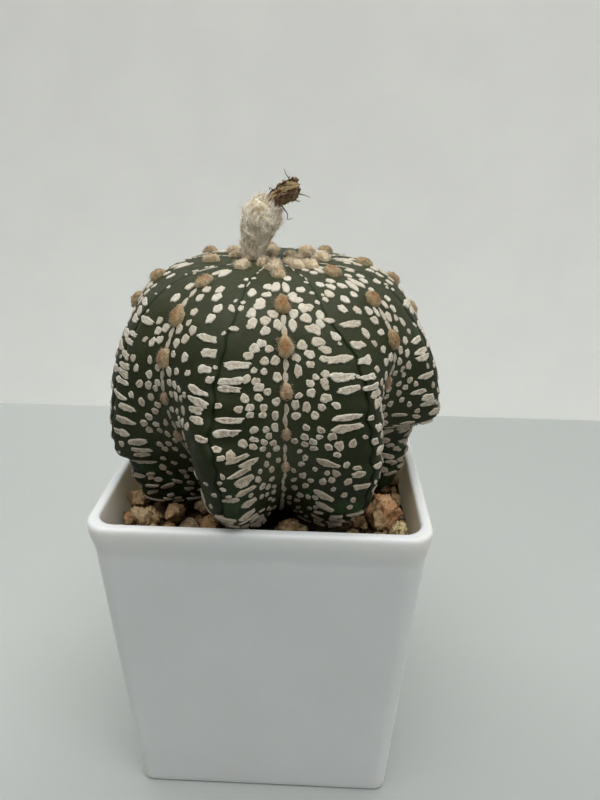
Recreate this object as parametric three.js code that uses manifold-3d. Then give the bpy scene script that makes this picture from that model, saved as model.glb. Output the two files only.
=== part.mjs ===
// A potted super kabuto star cactus: a square nursery pot, its fill of gritty soil with loose
// pumice on top, one eight-ribbed star cactus covered in woolly flecks, and a spent flower.
// Millimetres, +Z up. The origin is the middle of the pot's flat underside, and -Y is the front.

import * as THREE from 'three';
import { mergeVertices } from 'three/addons/utils/BufferGeometryUtils.js';
import Module from 'manifold-3d';

const wasm = await Module();
wasm.setup();

// Driving dimensions of the pot
const POT_WIDTH = 70;
const POT_HEIGHT = 80;
const POT_BASE_WIDTH = 61.8;
const POT_WALL = 1.6;
const POT_FLOOR = 2;
const POT_CORNER = 5;
const LIP_HEIGHT = 2.2;
const LIP_WIDTH = 2.3;
const LIP_OVERHANG = 0.6;
const DRAIN_HOLE = 6.5;
const DRAIN_PLACE = 15;

// Driving dimensions of the soil and the loose stones
const SOIL_TOP = 70;
const GAP = 0.3;
const ROOT_HOLE_FLOOR = 46;
const GRIT_COUNT = 108;
const GRIT_SIZE = [1.5, 3.0];
// Grit reaches this far in under the plant, from where its flank is at this height
const GRIT_UNDER_PLANT = 3;
const UNDERSIDE_HEIGHT = 76;

// Driving dimensions of the cactus
const BODY_CENTRE = new THREE.Vector2(0.9, -0.5);
const CROWN_HEIGHT = 126.6;
const NECK_RADIUS = 8;
const ROOT_TIP = ROOT_HOLE_FLOOR + 1;
const SUTURE_DEPTH = 0.9;
const FLECK_STAND = 0.5;
const FLECK_SINK = 0.9;

// Driving dimensions of the spent flower
const FLOWER_PLACE = new THREE.Vector2(-3.9, 0.8);
const SOCKET_DEPTH = 1;
const TUBE_FOOT = 2.6;
const TUBE_BELLY = 4.4;
const TUBE_HEIGHT = 11.6;
const TUBE_LEAN = 3.9;
const PETAL_LENGTH = 6.4;
const PETAL_DROOP = 14;

const random = THREE.MathUtils.seededRandom;
random(20);

function between(low, high) {
  return low + (high - low) * random();
}

const lerp = THREE.MathUtils.lerp;
const radians = THREE.MathUtils.degToRad;

// 0 at z = from, 1 at z = to, with soft ends; from may be above to
function ease(from, to, z) {
  const t = THREE.MathUtils.clamp((z - from) / (to - from), 0, 1);
  return t * t * (3 - 2 * t);
}

// Closed mesh geometry to a manifold solid and back
function toSolid(geometry) {
  geometry.deleteAttribute('normal');
  geometry.deleteAttribute('uv');
  const welded = mergeVertices(geometry, 1e-4);
  const corners = welded.index.array;
  const triVerts = [];
  // Faces that close to a point on the axis are left out
  for (let face = 0; face < corners.length; face += 3) {
    const [a, b, c] = corners.slice(face, face + 3);
    if (a !== b && b !== c && c !== a) {
      triVerts.push(a, b, c);
    }
  }
  return new wasm.Manifold(new wasm.Mesh({
    numProp: 3,
    vertProperties: new Float32Array(welded.attributes.position.array),
    triVerts: new Uint32Array(triVerts),
  }));
}

// Joins solids and drops the loose scraps that a later cut leaves
function grownTogether(parts, cutter) {
  const joined = wasm.Manifold.union(parts).subtract(cutter);
  const pieces = joined.decompose();
  return pieces.reduce((most, piece) => (piece.volume() > most.volume() ? piece : most));
}

function toGeometry(solid) {
  const mesh = solid.getMesh();
  const geometry = new THREE.BufferGeometry();
  geometry.setAttribute('position', new THREE.BufferAttribute(mesh.vertProperties, 3));
  geometry.setIndex(new THREE.BufferAttribute(mesh.triVerts, 1));
  geometry.computeVertexNormals();
  return geometry;
}

// A lathe whose vertices are then placed by a rule: place(ring, column) gives each one's point
function placedLathe(rings, columns, place) {
  const outline = Array.from({ length: rings }, (_, ring) => new THREE.Vector2(1, ring));
  const geometry = new THREE.LatheGeometry(outline, columns);
  const position = geometry.attributes.position;
  for (let column = 0; column <= columns; column++) {
    for (let ring = 0; ring < rings; ring++) {
      const point = place(ring, column % columns);
      position.setXYZ(column * rings + ring, point.x, point.y, point.z);
    }
  }
  return geometry;
}

// A rounded-square solid: the outline is a list of [half width, height] from axis to axis
const CORNER_STEPS = 5;

function squareTurned(outline, cornerAt) {
  const columns = 4 * (CORNER_STEPS + 1);
  return placedLathe(outline.length, columns, (ring, column) => {
    const [half, z] = outline[ring];
    const corner = THREE.MathUtils.clamp(cornerAt(half), 0, half);
    const quarter = Math.floor(column / (CORNER_STEPS + 1));
    const step = column % (CORNER_STEPS + 1);
    const turn = (quarter + step / CORNER_STEPS) * Math.PI / 2;
    const middle = (quarter + 0.5) * Math.PI / 2;
    const reach = (half - corner) * Math.SQRT2;
    return new THREE.Vector3(
      reach * Math.sin(middle) + corner * Math.sin(turn),
      -reach * Math.cos(middle) - corner * Math.cos(turn),
      z,
    );
  });
}

// The pot: half widths of its outer and inner wall at a height
const LIP_UNDER = POT_HEIGHT - LIP_HEIGHT;

function outerHalf(z) {
  return lerp(POT_BASE_WIDTH, POT_WIDTH - 2 * LIP_OVERHANG, z / LIP_UNDER) / 2;
}

function innerHalf(z) {
  return outerHalf(z) - POT_WALL;
}

function makePot() {
  const edge = 1.2;
  const lip = POT_WIDTH / 2;
  const mouth = lip - LIP_WIDTH;
  const outline = [
    [0, 0],
    [POT_BASE_WIDTH / 2 - edge, 0],
    [POT_BASE_WIDTH / 2 - 0.3 * edge, 0.3 * edge],
    [outerHalf(edge), edge],
    [outerHalf(LIP_UNDER), LIP_UNDER],
    [lip - 0.15, LIP_UNDER + 0.25],
    [lip, LIP_UNDER + 0.7],
    [lip, POT_HEIGHT - 0.6],
    [lip - 0.25, POT_HEIGHT - 0.15],
    [lip - 0.7, POT_HEIGHT],
    [mouth + 0.5, POT_HEIGHT],
    [mouth + 0.1, POT_HEIGHT - 0.2],
    [mouth, POT_HEIGHT - 0.6],
    [innerHalf(LIP_UNDER - 2), LIP_UNDER - 2],
    [innerHalf(POT_FLOOR), POT_FLOOR],
    [0, POT_FLOOR],
  ];
  const cornerAt = (half) => POT_CORNER - (POT_WIDTH / 2 - half) * 0.45;
  let pot = toSolid(squareTurned(outline, cornerAt));
  for (const x of [-DRAIN_PLACE, DRAIN_PLACE]) {
    for (const y of [-DRAIN_PLACE, DRAIN_PLACE]) {
      const drill = new THREE.CylinderGeometry(DRAIN_HOLE / 2, DRAIN_HOLE / 2, 3 * POT_FLOOR, 16);
      drill.rotateX(Math.PI / 2);
      drill.translate(x, y, POT_FLOOR / 2);
      pot = pot.subtract(toSolid(drill));
    }
  }
  return toGeometry(pot);
}

// The cactus outline over a bulge: [radius, height] from the crown down to the soil
const FLANK = new THREE.SplineCurve([
  [0, CROWN_HEIGHT], [6, 126.6], [11.5, 126.5], [17, 126.0], [22.5, 124.4], [27.4, 121.0],
  [31.2, 116.0], [34.4, 110.4], [36.6, 104.4], [37.7, 98], [37.8, 92.5], [36.9, 87.6],
  [36.0, 82.6], [35.0, 79.2], [32.8, 76.4], [28.8, 74.4], [20, 72.8], [NECK_RADIUS, 70.3],
].map(([radius, z]) => new THREE.Vector2(radius, z)));

// Lines of areoles in the valleys and sutures on the bulges, in degrees from the front
const RIBS = 8;
const AREOLE_LINE = [8, 51.5, 98, 143, 188, 233, 278, 323.5];
const SUTURE_LINE = [32.5, 75, 120, 166, 211, 256, 302, 346.5];
const SUTURE_CROWN_LEAN = [-8, -3, 0, 0, 0, 0, 3, 3];
const SUTURE_FOOT_LEAN = [1, 0, 0, 0, 0, 0, 0, 2.5];
// Each valley starts this much higher or lower than the rest
const VALLEY_SHIFT = [4, -8, -2, 0, 0, -2, -2, -3];
// The swollen new growth ends in a chin over an older, narrower foot
const CHIN_HEIGHT = [81, 94.5, 92, 90, 90, 89, 88, 81];
const CHIN_CUT = [0.12, 0.14, 0.10, 0.08, 0.08, 0.08, 0.05, 0.13];
const CHIN_ROUND = [5, 1.3, 1.3, 2, 2, 1.3, 1.3, 5];

function sutureAngle(rib, z) {
  const crown = SUTURE_CROWN_LEAN[rib] * ease(112, 124, z);
  const foot = SUTURE_FOOT_LEAN[rib] * ease(103, 94, z);
  return SUTURE_LINE[rib] + crown + foot;
}

// Share of the radius that a valley takes
function valleyDepth(rib, z) {
  const height = z + VALLEY_SHIFT[rib] * ease(116, 104, z);
  const fall = THREE.MathUtils.clamp((124 - height) / 48, 0, 1.05);
  return 0.46 * fall ** 1.65 * ease(70.2, 72, z);
}

// A point of the skin. rib is the bulge between areole lines rib and rib + 1; across runs from 0
// on the areole line to 1 on the suture, on side 0 (before the suture) or 1 (after it); along
// runs from 0 at the crown to 1 at the neck.
function skin(rib, side, across, along, proud = 0) {
  const { x: radius, y: z } = FLANK.getPoint(along);
  const valley = (rib + side) % RIBS;
  const line = AREOLE_LINE[valley] + (rib + side === RIBS ? 360 : 0);
  const angle = radians(lerp(line, sutureAngle(rib, z), across));
  const hollow = valleyDepth(valley, z) * (0.5 + 0.5 * Math.cos(Math.PI * across)) ** 1.15;
  const below = ease(CHIN_HEIGHT[rib] + CHIN_ROUND[rib], CHIN_HEIGHT[rib] - CHIN_ROUND[rib], z);
  const tuck = CHIN_CUT[rib] * Math.sin(across * Math.PI / 2) * below * ease(70.2, 73, z);
  const groove = across > 0.99 ? SUTURE_DEPTH * ease(126.4, 123, z) * ease(73, 80, z) : 0;
  const reach = radius * (1 - hollow) * (1 - tuck) - groove + proud;
  return new THREE.Vector3(
    BODY_CENTRE.x + reach * Math.sin(angle),
    BODY_CENTRE.y - reach * Math.cos(angle),
    z,
  );
}

// The skin's point, its outward normal and its two directions, as a matrix that places a fleck
function skinFrame(rib, side, across, along) {
  const step = 0.01;
  const point = skin(rib, side, across, along);
  const round = skin(rib, side, Math.min(across + step, 0.98), along)
    .sub(skin(rib, side, Math.max(across - step, 0), along)).normalize();
  const down = skin(rib, side, across, along + step)
    .sub(skin(rib, side, across, Math.max(along - step, 0))).normalize();
  const out = new THREE.Vector3().crossVectors(round, down).normalize();
  const away = new THREE.Vector3(point.x - BODY_CENTRE.x, point.y - BODY_CENTRE.y, point.z - 96);
  if (out.dot(away) < 0) {
    out.negate();
  }
  const sideways = new THREE.Vector3().crossVectors(out, down).normalize();
  return new THREE.Matrix4().makeBasis(sideways, out, down).setPosition(point);
}

// A low flat-topped fleck of felted hairs, rooted in the skin: a four-sided bar or a round dot
function makeFleck(frame, length, width, sides) {
  const height = FLECK_STAND + FLECK_SINK;
  const corner = 0.5 / Math.cos(Math.PI / sides);
  const fleck = new THREE.CylinderGeometry(0.85 * corner, corner, height, sides, 1);
  fleck.rotateY(sides === 4 ? Math.PI / 4 : between(0, 1));
  fleck.scale(length, 1, width);
  fleck.rotateY(between(-0.1, 0.1));
  fleck.translate(0, FLECK_STAND - height / 2, 0);
  fleck.applyMatrix4(frame);
  return toSolid(fleck);
}

function makeTuft(frame, size) {
  const tuft = new THREE.SphereGeometry(size, 6, 3);
  tuft.scale(0.85, 0.75, 1.1);
  tuft.rotateY(between(0, 1));
  tuft.translate(0, 0.12 * size, 0);
  tuft.applyMatrix4(frame);
  return toSolid(tuft);
}

// Where the flecks' rows and the areoles lie along the flank
const BAR_ROWS = [0.47, 0.54, 0.61, 0.68];
const OVAL_ROWS = [0.17, 0.27, 0.37];
const DOT_ROWS = [0.35, 0.45, 0.56];
const AREOLES = [0.06, 0.15, 0.235, 0.32, 0.405, 0.49, 0.575];
const AREOLE_STEP = 0.085;

function makeBody() {
  const fractions = [0, 0.4, 0.75, 0.955, 1, 0.955, 0.75, 0.4];
  const levels = [
    0.07, 0.15, 0.23, 0.30, 0.36, 0.42, 0.48, 0.54, 0.59, 0.63, 0.66, 0.69, 0.73, 0.77, 0.81,
    0.85, 0.90, 1,
  ];
  const root = [
    [0, ROOT_TIP], [3.2, ROOT_TIP + 1], [5.2, ROOT_TIP + 6], [NECK_RADIUS, ROOT_TIP + 16],
  ];
  const rings = root.length + levels.length + 1;
  const columns = RIBS * fractions.length;
  const grown = placedLathe(rings, columns, (ring, column) => {
    const rib = Math.floor(column / fractions.length);
    const place = column % fractions.length;
    const side = place > 4 ? 1 : 0;
    if (ring < root.length) {
      const [radius, z] = root[ring];
      const neck = skin(rib, side, fractions[place], 1);
      const share = radius / NECK_RADIUS;
      return new THREE.Vector3(
        lerp(BODY_CENTRE.x, neck.x, share),
        lerp(BODY_CENTRE.y, neck.y, share),
        z,
      );
    }
    if (ring === rings - 1) {
      return new THREE.Vector3(BODY_CENTRE.x, BODY_CENTRE.y, CROWN_HEIGHT);
    }
    return skin(rib, side, fractions[place], levels[levels.length - 1 - (ring - root.length)]);
  });

  const growths = [toSolid(grown)];
  for (let rib = 0; rib < RIBS; rib++) {
    // The areoles climb round the plant in a spiral, three ribs to a turn of the count
    const climb = ((3 * rib) % RIBS) / RIBS * AREOLE_STEP;
    for (const along of AREOLES) {
      const size = along < 0.1 ? 1.6 : between(1.7, 2.1) - 0.7 * ease(0.4, 0.6, along);
      growths.push(makeTuft(skinFrame(rib, 0, 0.01, along + climb), size));
    }
    for (const side of [0, 1]) {
      for (const along of BAR_ROWS) {
        const frame = skinFrame(rib, side, 0.72, along + between(-0.008, 0.008));
        growths.push(makeFleck(frame, between(4.8, 5.8), 1.6, 4));
      }
      for (const along of OVAL_ROWS) {
        const frame = skinFrame(rib, side, between(0.5, 0.72), along);
        growths.push(makeFleck(frame, 2.9, 2.2, 5));
      }
      for (const along of DOT_ROWS) {
        const frame = skinFrame(rib, side, between(0.27, 0.38), along);
        growths.push(makeFleck(frame, 2.4, 2.3, 5));
      }
    }
  }

  // The flower stands in a plain round socket, clear of the wool about it
  const socketFloor = CROWN_HEIGHT - SOCKET_DEPTH;
  const room = new THREE.CylinderGeometry(TUBE_FOOT + GAP + 0.9, TUBE_FOOT + GAP, 6, 16);
  room.rotateX(Math.PI / 2);
  room.translate(FLOWER_PLACE.x, FLOWER_PLACE.y, socketFloor + 3);
  return toGeometry(grownTogether(growths, toSolid(room)));
}

// The spent flower's axis: it stands up from the crown and leans to the right as it rises
const FLOWER_AXIS = new THREE.QuadraticBezierCurve3(
  new THREE.Vector3(FLOWER_PLACE.x, FLOWER_PLACE.y, CROWN_HEIGHT - SOCKET_DEPTH),
  new THREE.Vector3(FLOWER_PLACE.x + 0.6, FLOWER_PLACE.y, CROWN_HEIGHT + 0.65 * TUBE_HEIGHT),
  new THREE.Vector3(FLOWER_PLACE.x + TUBE_LEAN, FLOWER_PLACE.y, CROWN_HEIGHT + TUBE_HEIGHT),
);
const ACROSS_FLOWER = new THREE.Vector3(0, 1, 0);

// Rings of a round body that follows a curve: [place on the curve, radius]
function alongCurve(curve, outline, columns) {
  return placedLathe(outline.length, columns, (ring, column) => {
    const [place, radius] = outline[ring];
    const centre = curve.getPoint(place);
    const up = place === 0 ? new THREE.Vector3(0, 0, 1) : curve.getTangent(place);
    const right = new THREE.Vector3().crossVectors(ACROSS_FLOWER, up).normalize();
    const back = new THREE.Vector3().crossVectors(up, right);
    const turn = column * 2 * Math.PI / columns;
    return centre
      .addScaledVector(right, radius * Math.sin(turn))
      .addScaledVector(back, -radius * Math.cos(turn));
  });
}

function makeFlowerTube() {
  const outline = [
    [0, 0], [0, TUBE_FOOT], [0.16, TUBE_FOOT + 0.15], [0.34, 0.78 * TUBE_BELLY],
    [0.52, 0.97 * TUBE_BELLY], [0.68, TUBE_BELLY], [0.84, 0.86 * TUBE_BELLY],
    [0.96, 0.58 * TUBE_BELLY], [1, 0.42 * TUBE_BELLY], [1, 0],
  ];
  const parts = [toSolid(alongCurve(FLOWER_AXIS, outline, 12))];
  // Pointed scales wrapped in wool, in a spiral up the tube
  const scales = 44;
  const goldenTurn = radians(137.5);
  for (let index = 0; index < scales; index++) {
    const place = lerp(0.3, 0.93, index / (scales - 1));
    const girth = TUBE_BELLY * (1 - 1.9 * (place - 0.64) ** 2);
    const scale = new THREE.ConeGeometry(0.62, 2.6, 3, 1);
    scale.rotateX(radians(62 - 40 * place));
    scale.translate(0, 0.4, girth - 0.35);
    scale.rotateY(index * goldenTurn);
    scale.rotateX(Math.PI / 2);
    const lean = new THREE.Quaternion().setFromUnitVectors(
      new THREE.Vector3(0, 0, 1), FLOWER_AXIS.getTangent(place));
    scale.applyQuaternion(lean);
    const centre = FLOWER_AXIS.getPoint(place);
    scale.translate(centre.x, centre.y, centre.z);
    parts.push(toSolid(scale));
  }
  return toGeometry(wasm.Manifold.union(parts));
}

// The dried petals: a shrivelled brush of narrow blades that spreads toward its ragged end
function makeDriedPetals() {
  const core = new THREE.CylinderGeometry(1.6, 1.0, 0.8 * PETAL_LENGTH, 7);
  core.translate(0, 0.4 * PETAL_LENGTH - 0.8, 0);
  const parts = [toSolid(core)];
  const blades = 10;
  for (let index = 0; index < blades; index++) {
    const length = PETAL_LENGTH * between(0.85, 1.1);
    const blade = new THREE.CylinderGeometry(0.4, 0.9, length, 4);
    blade.scale(1.2, 1, 0.6);
    blade.rotateX(radians(between(5, 10)));
    blade.translate(0, length / 2 - 0.8, 0.95);
    blade.rotateY(index * 2 * Math.PI / blades);
    parts.push(toSolid(blade));
  }
  // A few stiff filaments hook out of the brush: [turn, height, tilt]
  const hooks = [[0.3, 0.95, 48], [2.6, 0.5, 60], [4.4, 1.0, 30]];
  for (const [turn, height, tilt] of hooks) {
    const hook = new THREE.ConeGeometry(0.4, 4.2, 4);
    hook.translate(0, 1.4, 0);
    hook.rotateX(radians(tilt));
    hook.translate(0, height * PETAL_LENGTH * 0.7, 1);
    hook.rotateY(turn);
    parts.push(toSolid(hook));
  }
  // The brush droops from the tube's own direction, and its foot is cut flat across that
  const droop = new THREE.Matrix4().makeRotationZ(radians(-PETAL_DROOP));
  const brush = wasm.Manifold.union(parts).transform(droop.elements);
  const below = new THREE.BoxGeometry(20, 8, 20);
  below.translate(0, -4, 0);
  const geometry = toGeometry(grownTogether([brush], toSolid(below)));
  const upright = new THREE.Vector3(0, 1, 0);
  const tip = FLOWER_AXIS.getTangent(1);
  geometry.applyQuaternion(new THREE.Quaternion().setFromUnitVectors(upright, tip));
  const foot = FLOWER_AXIS.getPoint(1).addScaledVector(tip, GAP);
  return geometry.translate(foot.x, foot.y, foot.z);
}

// Loose pumice: [name, x, y, length, width, height, colour], each on its own flat underside
const STONES = [
  ['stone_front_middle', 5.6, -22.8, 7.0, 6.0, 5.4, 0xb58a5e],
  ['stone_front_left', -25.8, -18.6, 6.4, 5.4, 4.4, 0xa08769],
  ['stone_front_left_small', -16.6, -21.4, 5.2, 4.4, 3.6, 0x8f7a63],
  ['stone_left', -29.4, -9.6, 4.2, 5.0, 3.8, 0xa38a6c],
  ['stone_front_right', 26.7, -16.2, 9.0, 7.4, 9.0, 0xc07c4c],
  ['stone_front_right_pale', 29.5, -22.9, 4.6, 4.6, 6.0, 0xc0a67c],
  ['stone_right', 30.3, -8.0, 3.6, 4.6, 3.4, 0xa08366],
  ['stone_back_right', 24.4, 25.4, 6.4, 5.6, 5.0, 0xb08c64],
  ['stone_back_right_small', 29.0, 17.6, 4.4, 5.0, 3.6, 0x94806a],
  ['stone_back_left', -25.4, 25.2, 6.8, 6.0, 5.2, 0xb47f54],
  ['stone_back_left_small', -17.6, 29.2, 5.0, 4.0, 3.4, 0xa38c70],
];

function makeStone(length, width, height) {
  const stone = mergeVertices(new THREE.IcosahedronGeometry(0.5, 1).deleteAttribute('normal')
    .deleteAttribute('uv'), 1e-4);
  const position = stone.attributes.position;
  const corner = new THREE.Vector3();
  for (let index = 0; index < position.count; index++) {
    corner.fromBufferAttribute(position, index).multiplyScalar(between(0.88, 1.12));
    position.setXYZ(index, corner.x, corner.y, corner.z);
  }
  stone.rotateZ(between(0, 6));
  stone.rotateX(between(0, 6));
  stone.scale(length, width, height * 1.15);
  stone.translate(0, 0, height * 0.42);
  const ground = new THREE.BoxGeometry(30, 30, 20);
  ground.translate(0, 0, -10);
  return toSolid(stone).subtract(toSolid(ground));
}

// How far the cactus reaches from its middle toward a point beside it, up to a height
function bodyReach(x, y, upTo) {
  const turn = Math.atan2(x - BODY_CENTRE.x, BODY_CENTRE.y - y);
  const degrees = (THREE.MathUtils.radToDeg(turn) + 360) % 360;
  let reach = 0;
  for (let rib = 0; rib < RIBS; rib++) {
    for (const side of [0, 1]) {
      for (let along = 0.6; along <= 1; along += 0.02) {
        const z = FLANK.getPoint(along).y;
        const line = AREOLE_LINE[(rib + side) % RIBS] + (rib + side === RIBS ? 360 : 0);
        const suture = sutureAngle(rib, z);
        for (const about of [degrees, degrees + 360]) {
          const across = (about - line) / (suture - line);
          if (z <= upTo && across >= 0 && across <= 1) {
            const point = skin(rib, side, across, along);
            reach = Math.max(reach, Math.hypot(point.x - BODY_CENTRE.x, point.y - BODY_CENTRE.y));
          }
        }
      }
    }
  }
  return reach;
}

// The soil fills the pot, and its top layer of grit shows as stones grown out of one block
function makeSoil() {
  const room = (z) => innerHalf(z) - GAP;
  const outline = [
    [0, POT_FLOOR], [room(POT_FLOOR) - 0.2, POT_FLOOR], [room(SOIL_TOP), SOIL_TOP], [0, SOIL_TOP],
  ];
  const cornerAt = (half) => POT_CORNER - POT_WALL - (room(SOIL_TOP) - half) * 0.45;
  const parts = [toSolid(squareTurned(outline, cornerAt))];
  const placed = STONES.map(([, x, y, length, width]) => [x, y, Math.max(length, width) / 2 + 0.4]);
  for (let attempt = 0; attempt < GRIT_COUNT * 8 && parts.length <= GRIT_COUNT; attempt++) {
    const size = between(...GRIT_SIZE);
    const limit = room(SOIL_TOP) - size - 0.2;
    const x = between(-limit, limit);
    const y = between(-limit, limit);
    const rise = between(0.1, 0.45) * size;
    const crowded = placed.some(([px, py, pr], index) => {
      const share = index < STONES.length ? 1 : 0.8;
      return Math.hypot(x - px, y - py) < share * (pr + size);
    });
    const middle = Math.hypot(x - BODY_CENTRE.x, y - BODY_CENTRE.y);
    const clear = bodyReach(x, y, UNDERSIDE_HEIGHT) - GRIT_UNDER_PLANT + size;
    if (crowded || middle < clear) {
      continue;
    }
    placed.push([x, y, size]);
    const stone = new THREE.IcosahedronGeometry(size, 0);
    stone.rotateX(between(0, 6));
    stone.rotateZ(between(0, 6));
    stone.scale(1, between(0.75, 1), 0.85);
    stone.translate(x, y, SOIL_TOP + rise);
    parts.push(toSolid(stone));
  }
  const depth = SOIL_TOP + 1 - ROOT_HOLE_FLOOR;
  const radius = NECK_RADIUS + GAP + 0.1;
  const hole = new THREE.CylinderGeometry(radius, radius, depth, 32);
  hole.rotateX(Math.PI / 2);
  hole.translate(BODY_CENTRE.x, BODY_CENTRE.y, ROOT_HOLE_FLOOR + depth / 2);
  return toGeometry(grownTogether(parts, toSolid(hole)));
}

// Materials
function finish(color, roughness) {
  return new THREE.MeshStandardMaterial({ color, roughness, metalness: 0 });
}

const plant = new THREE.Group();

function add(name, geometry, material) {
  const mesh = new THREE.Mesh(geometry, material);
  mesh.name = name;
  plant.add(mesh);
}

add('pot', makePot(), finish(0xe8e8e6, 0.35));
add('soil', makeSoil(), finish(0x6f5f50, 0.95));
add('cactus', makeBody(), finish(0x4d5c4b, 0.8));
add('flower_tube', makeFlowerTube(), finish(0xcabfa8, 0.95));
add('dried_petals', makeDriedPetals(), finish(0x6b4c38, 0.9));
for (const [name, x, y, length, width, height, color] of STONES) {
  const geometry = toGeometry(makeStone(length, width, height));
  geometry.translate(x, y, SOIL_TOP);
  add(name, geometry, finish(color, 0.95));
}

export default plant;
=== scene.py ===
"""Looks for a potted super kabuto star cactus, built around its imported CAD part.

Objects are in metres, +Z up and -Y the front. Sizes below are in millimetres, the CAD
source's unit, and turn into metres where a mesh, light or camera is made. Only the heights
and widths that a finish reads from the shader are in metres.
"""

import math

import bpy
import numpy as np
from mathutils import Matrix, Vector


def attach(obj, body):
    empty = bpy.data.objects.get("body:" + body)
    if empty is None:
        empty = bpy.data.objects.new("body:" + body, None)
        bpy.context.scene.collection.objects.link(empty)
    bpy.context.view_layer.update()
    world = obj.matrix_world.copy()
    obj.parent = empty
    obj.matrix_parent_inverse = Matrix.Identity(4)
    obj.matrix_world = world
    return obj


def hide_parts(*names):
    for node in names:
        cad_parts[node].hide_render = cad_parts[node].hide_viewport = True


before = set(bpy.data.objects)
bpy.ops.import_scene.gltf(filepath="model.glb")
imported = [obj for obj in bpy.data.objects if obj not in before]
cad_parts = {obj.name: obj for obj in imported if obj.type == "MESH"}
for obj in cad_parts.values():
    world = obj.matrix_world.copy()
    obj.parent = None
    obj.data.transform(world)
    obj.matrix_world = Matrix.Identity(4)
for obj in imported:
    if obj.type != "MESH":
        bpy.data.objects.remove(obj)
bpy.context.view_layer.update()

MM = 0.001
FULL_TURN = 2 * math.pi


def draws(seed):
    """A random source of its own for each part, so that a change to one leaves the others."""
    return np.random.default_rng(seed)


def ease(start, end, value):
    """0 at start, 1 at end, with soft ends; start may be above end."""
    share = np.clip((value - start) / (end - start), 0, 1)
    return share * share * (3 - 2 * share)


def blend(low, high, share):
    return low + (high - low) * share


def unit(vectors):
    return vectors / np.maximum(np.linalg.norm(vectors, axis=-1, keepdims=True), 1e-9)


def bearings(count):
    """Angles evenly round a full turn."""
    return np.linspace(0, FULL_TURN, count, endpoint=False)


def round_axis(first, second, angle):
    """Directions at angles from one axis toward another."""
    return first * np.cos(angle)[..., None] + second * np.sin(angle)[..., None]


WAVES = 7


def ripples(points, wavelength, seed):
    """Smooth unevenness, mostly from -1 to 1: crossed sine waves of about one wavelength."""
    source = draws(seed)
    total = np.zeros(points.shape[:-1])
    for _ in range(WAVES):
        direction = unit(source.normal(size=3))
        stretch = source.uniform(0.7, 1.5) * FULL_TURN / wavelength
        total += np.sin(points @ direction * stretch + source.uniform(0, FULL_TURN))
    return total / math.sqrt(2 * WAVES) / 1.2


# Meshes


def in_scene(name, data):
    """An object of its own for a mesh, lamp or camera."""
    made = bpy.data.objects.new(name, data)
    bpy.context.scene.collection.objects.link(made)
    return made


def new_mesh(name, points, faces):
    mesh = bpy.data.meshes.new(name)
    mesh.from_pydata((np.concatenate(points) * MM).tolist(), [], faces)
    return mesh


class Shape:
    """Points, faces and per-point values that grow into one mesh."""

    def __init__(self, *labels):
        self.points, self.faces, self.count = [], [], 0
        self.values = {label: [] for label in labels}

    def add(self, points, faces, **values):
        """Adds a patch. faces may be one patch's corners, repeated for a stack of patches."""
        points = np.asarray(points, float)
        stack = points.reshape(-1, *points.shape[-2:])
        patches, corners = stack.shape[:2]
        for index in range(patches):
            start = self.count + index * corners
            self.faces += [tuple(corner + start for corner in face) for face in faces]
        self.points.append(stack.reshape(-1, 3))
        for label, kept in self.values.items():
            value = np.broadcast_to(np.asarray(values.get(label, 0.0), float), stack.shape[:2])
            kept.append(value.reshape(-1))
        self.count += patches * corners

    def piece(self, name, material, slot, stands_for=()):
        """Makes it a piece of the object: its material, body and what it replaces. slot is not used.
        """
        mesh = new_mesh(name, self.points, self.faces)
        for label, kept in self.values.items():
            attribute = mesh.attributes.new(label, "FLOAT", "POINT")
            attribute.data.foreach_set("value", np.concatenate(kept).astype(np.float32))
        mesh.polygons.foreach_set("use_smooth", [True] * len(mesh.polygons))
        mesh.materials.append(material)
        mesh.validate()
        mesh.update()
        piece = in_scene(name, mesh)
        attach(piece, "root")
        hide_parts(*stands_for)
        return piece


def ring_faces(rings, columns, flipped=False):
    """Quads between closed rings of points that run ring by ring."""
    faces = []
    for ring in range(rings - 1):
        for column in range(columns):
            following = (column + 1) % columns
            here, above = ring * columns, (ring + 1) * columns
            faces.append((here + column, here + following, above + following, above + column))
    return [face[::-1] for face in faces] if flipped else faces


def cap(centre, ring, columns, outward=True):
    """A fan of triangles from a centre point to a ring that starts at an index."""
    fan = []
    for column in range(columns):
        corner, following = ring + column, ring + (column + 1) % columns
        fan.append((centre, corner, following) if outward else (centre, following, corner))
    return fan


def closed_body(rings, ends, flipped=False):
    """Points and faces of a stack of rings that a point closes at each end."""
    rings = np.asarray(rings)
    rows, columns = rings.shape[:2]
    count = rows * columns
    faces = ring_faces(rows, columns, flipped) + cap(count, 0, columns, flipped)
    faces += cap(count + 1, count - columns, columns, not flipped)
    return np.concatenate([rings.reshape(-1, 3), ends]), faces


def pad_faces(rings, columns):
    """Faces of a pad: rings from its edge inward, then one point in the middle."""
    count = rings * columns
    return ring_faces(rings, columns, True) + cap(count, count - columns, columns, False)


# Finishes


def shade(red, green, blue):
    """A colour as seen, 0 to 255, in the shader's linear scale."""
    seen = np.array([red, green, blue]) / 255
    linear = np.where(seen <= 0.04045, seen / 12.92, ((seen + 0.055) / 1.055) ** 2.4)
    return (*linear, 1.0)


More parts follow.
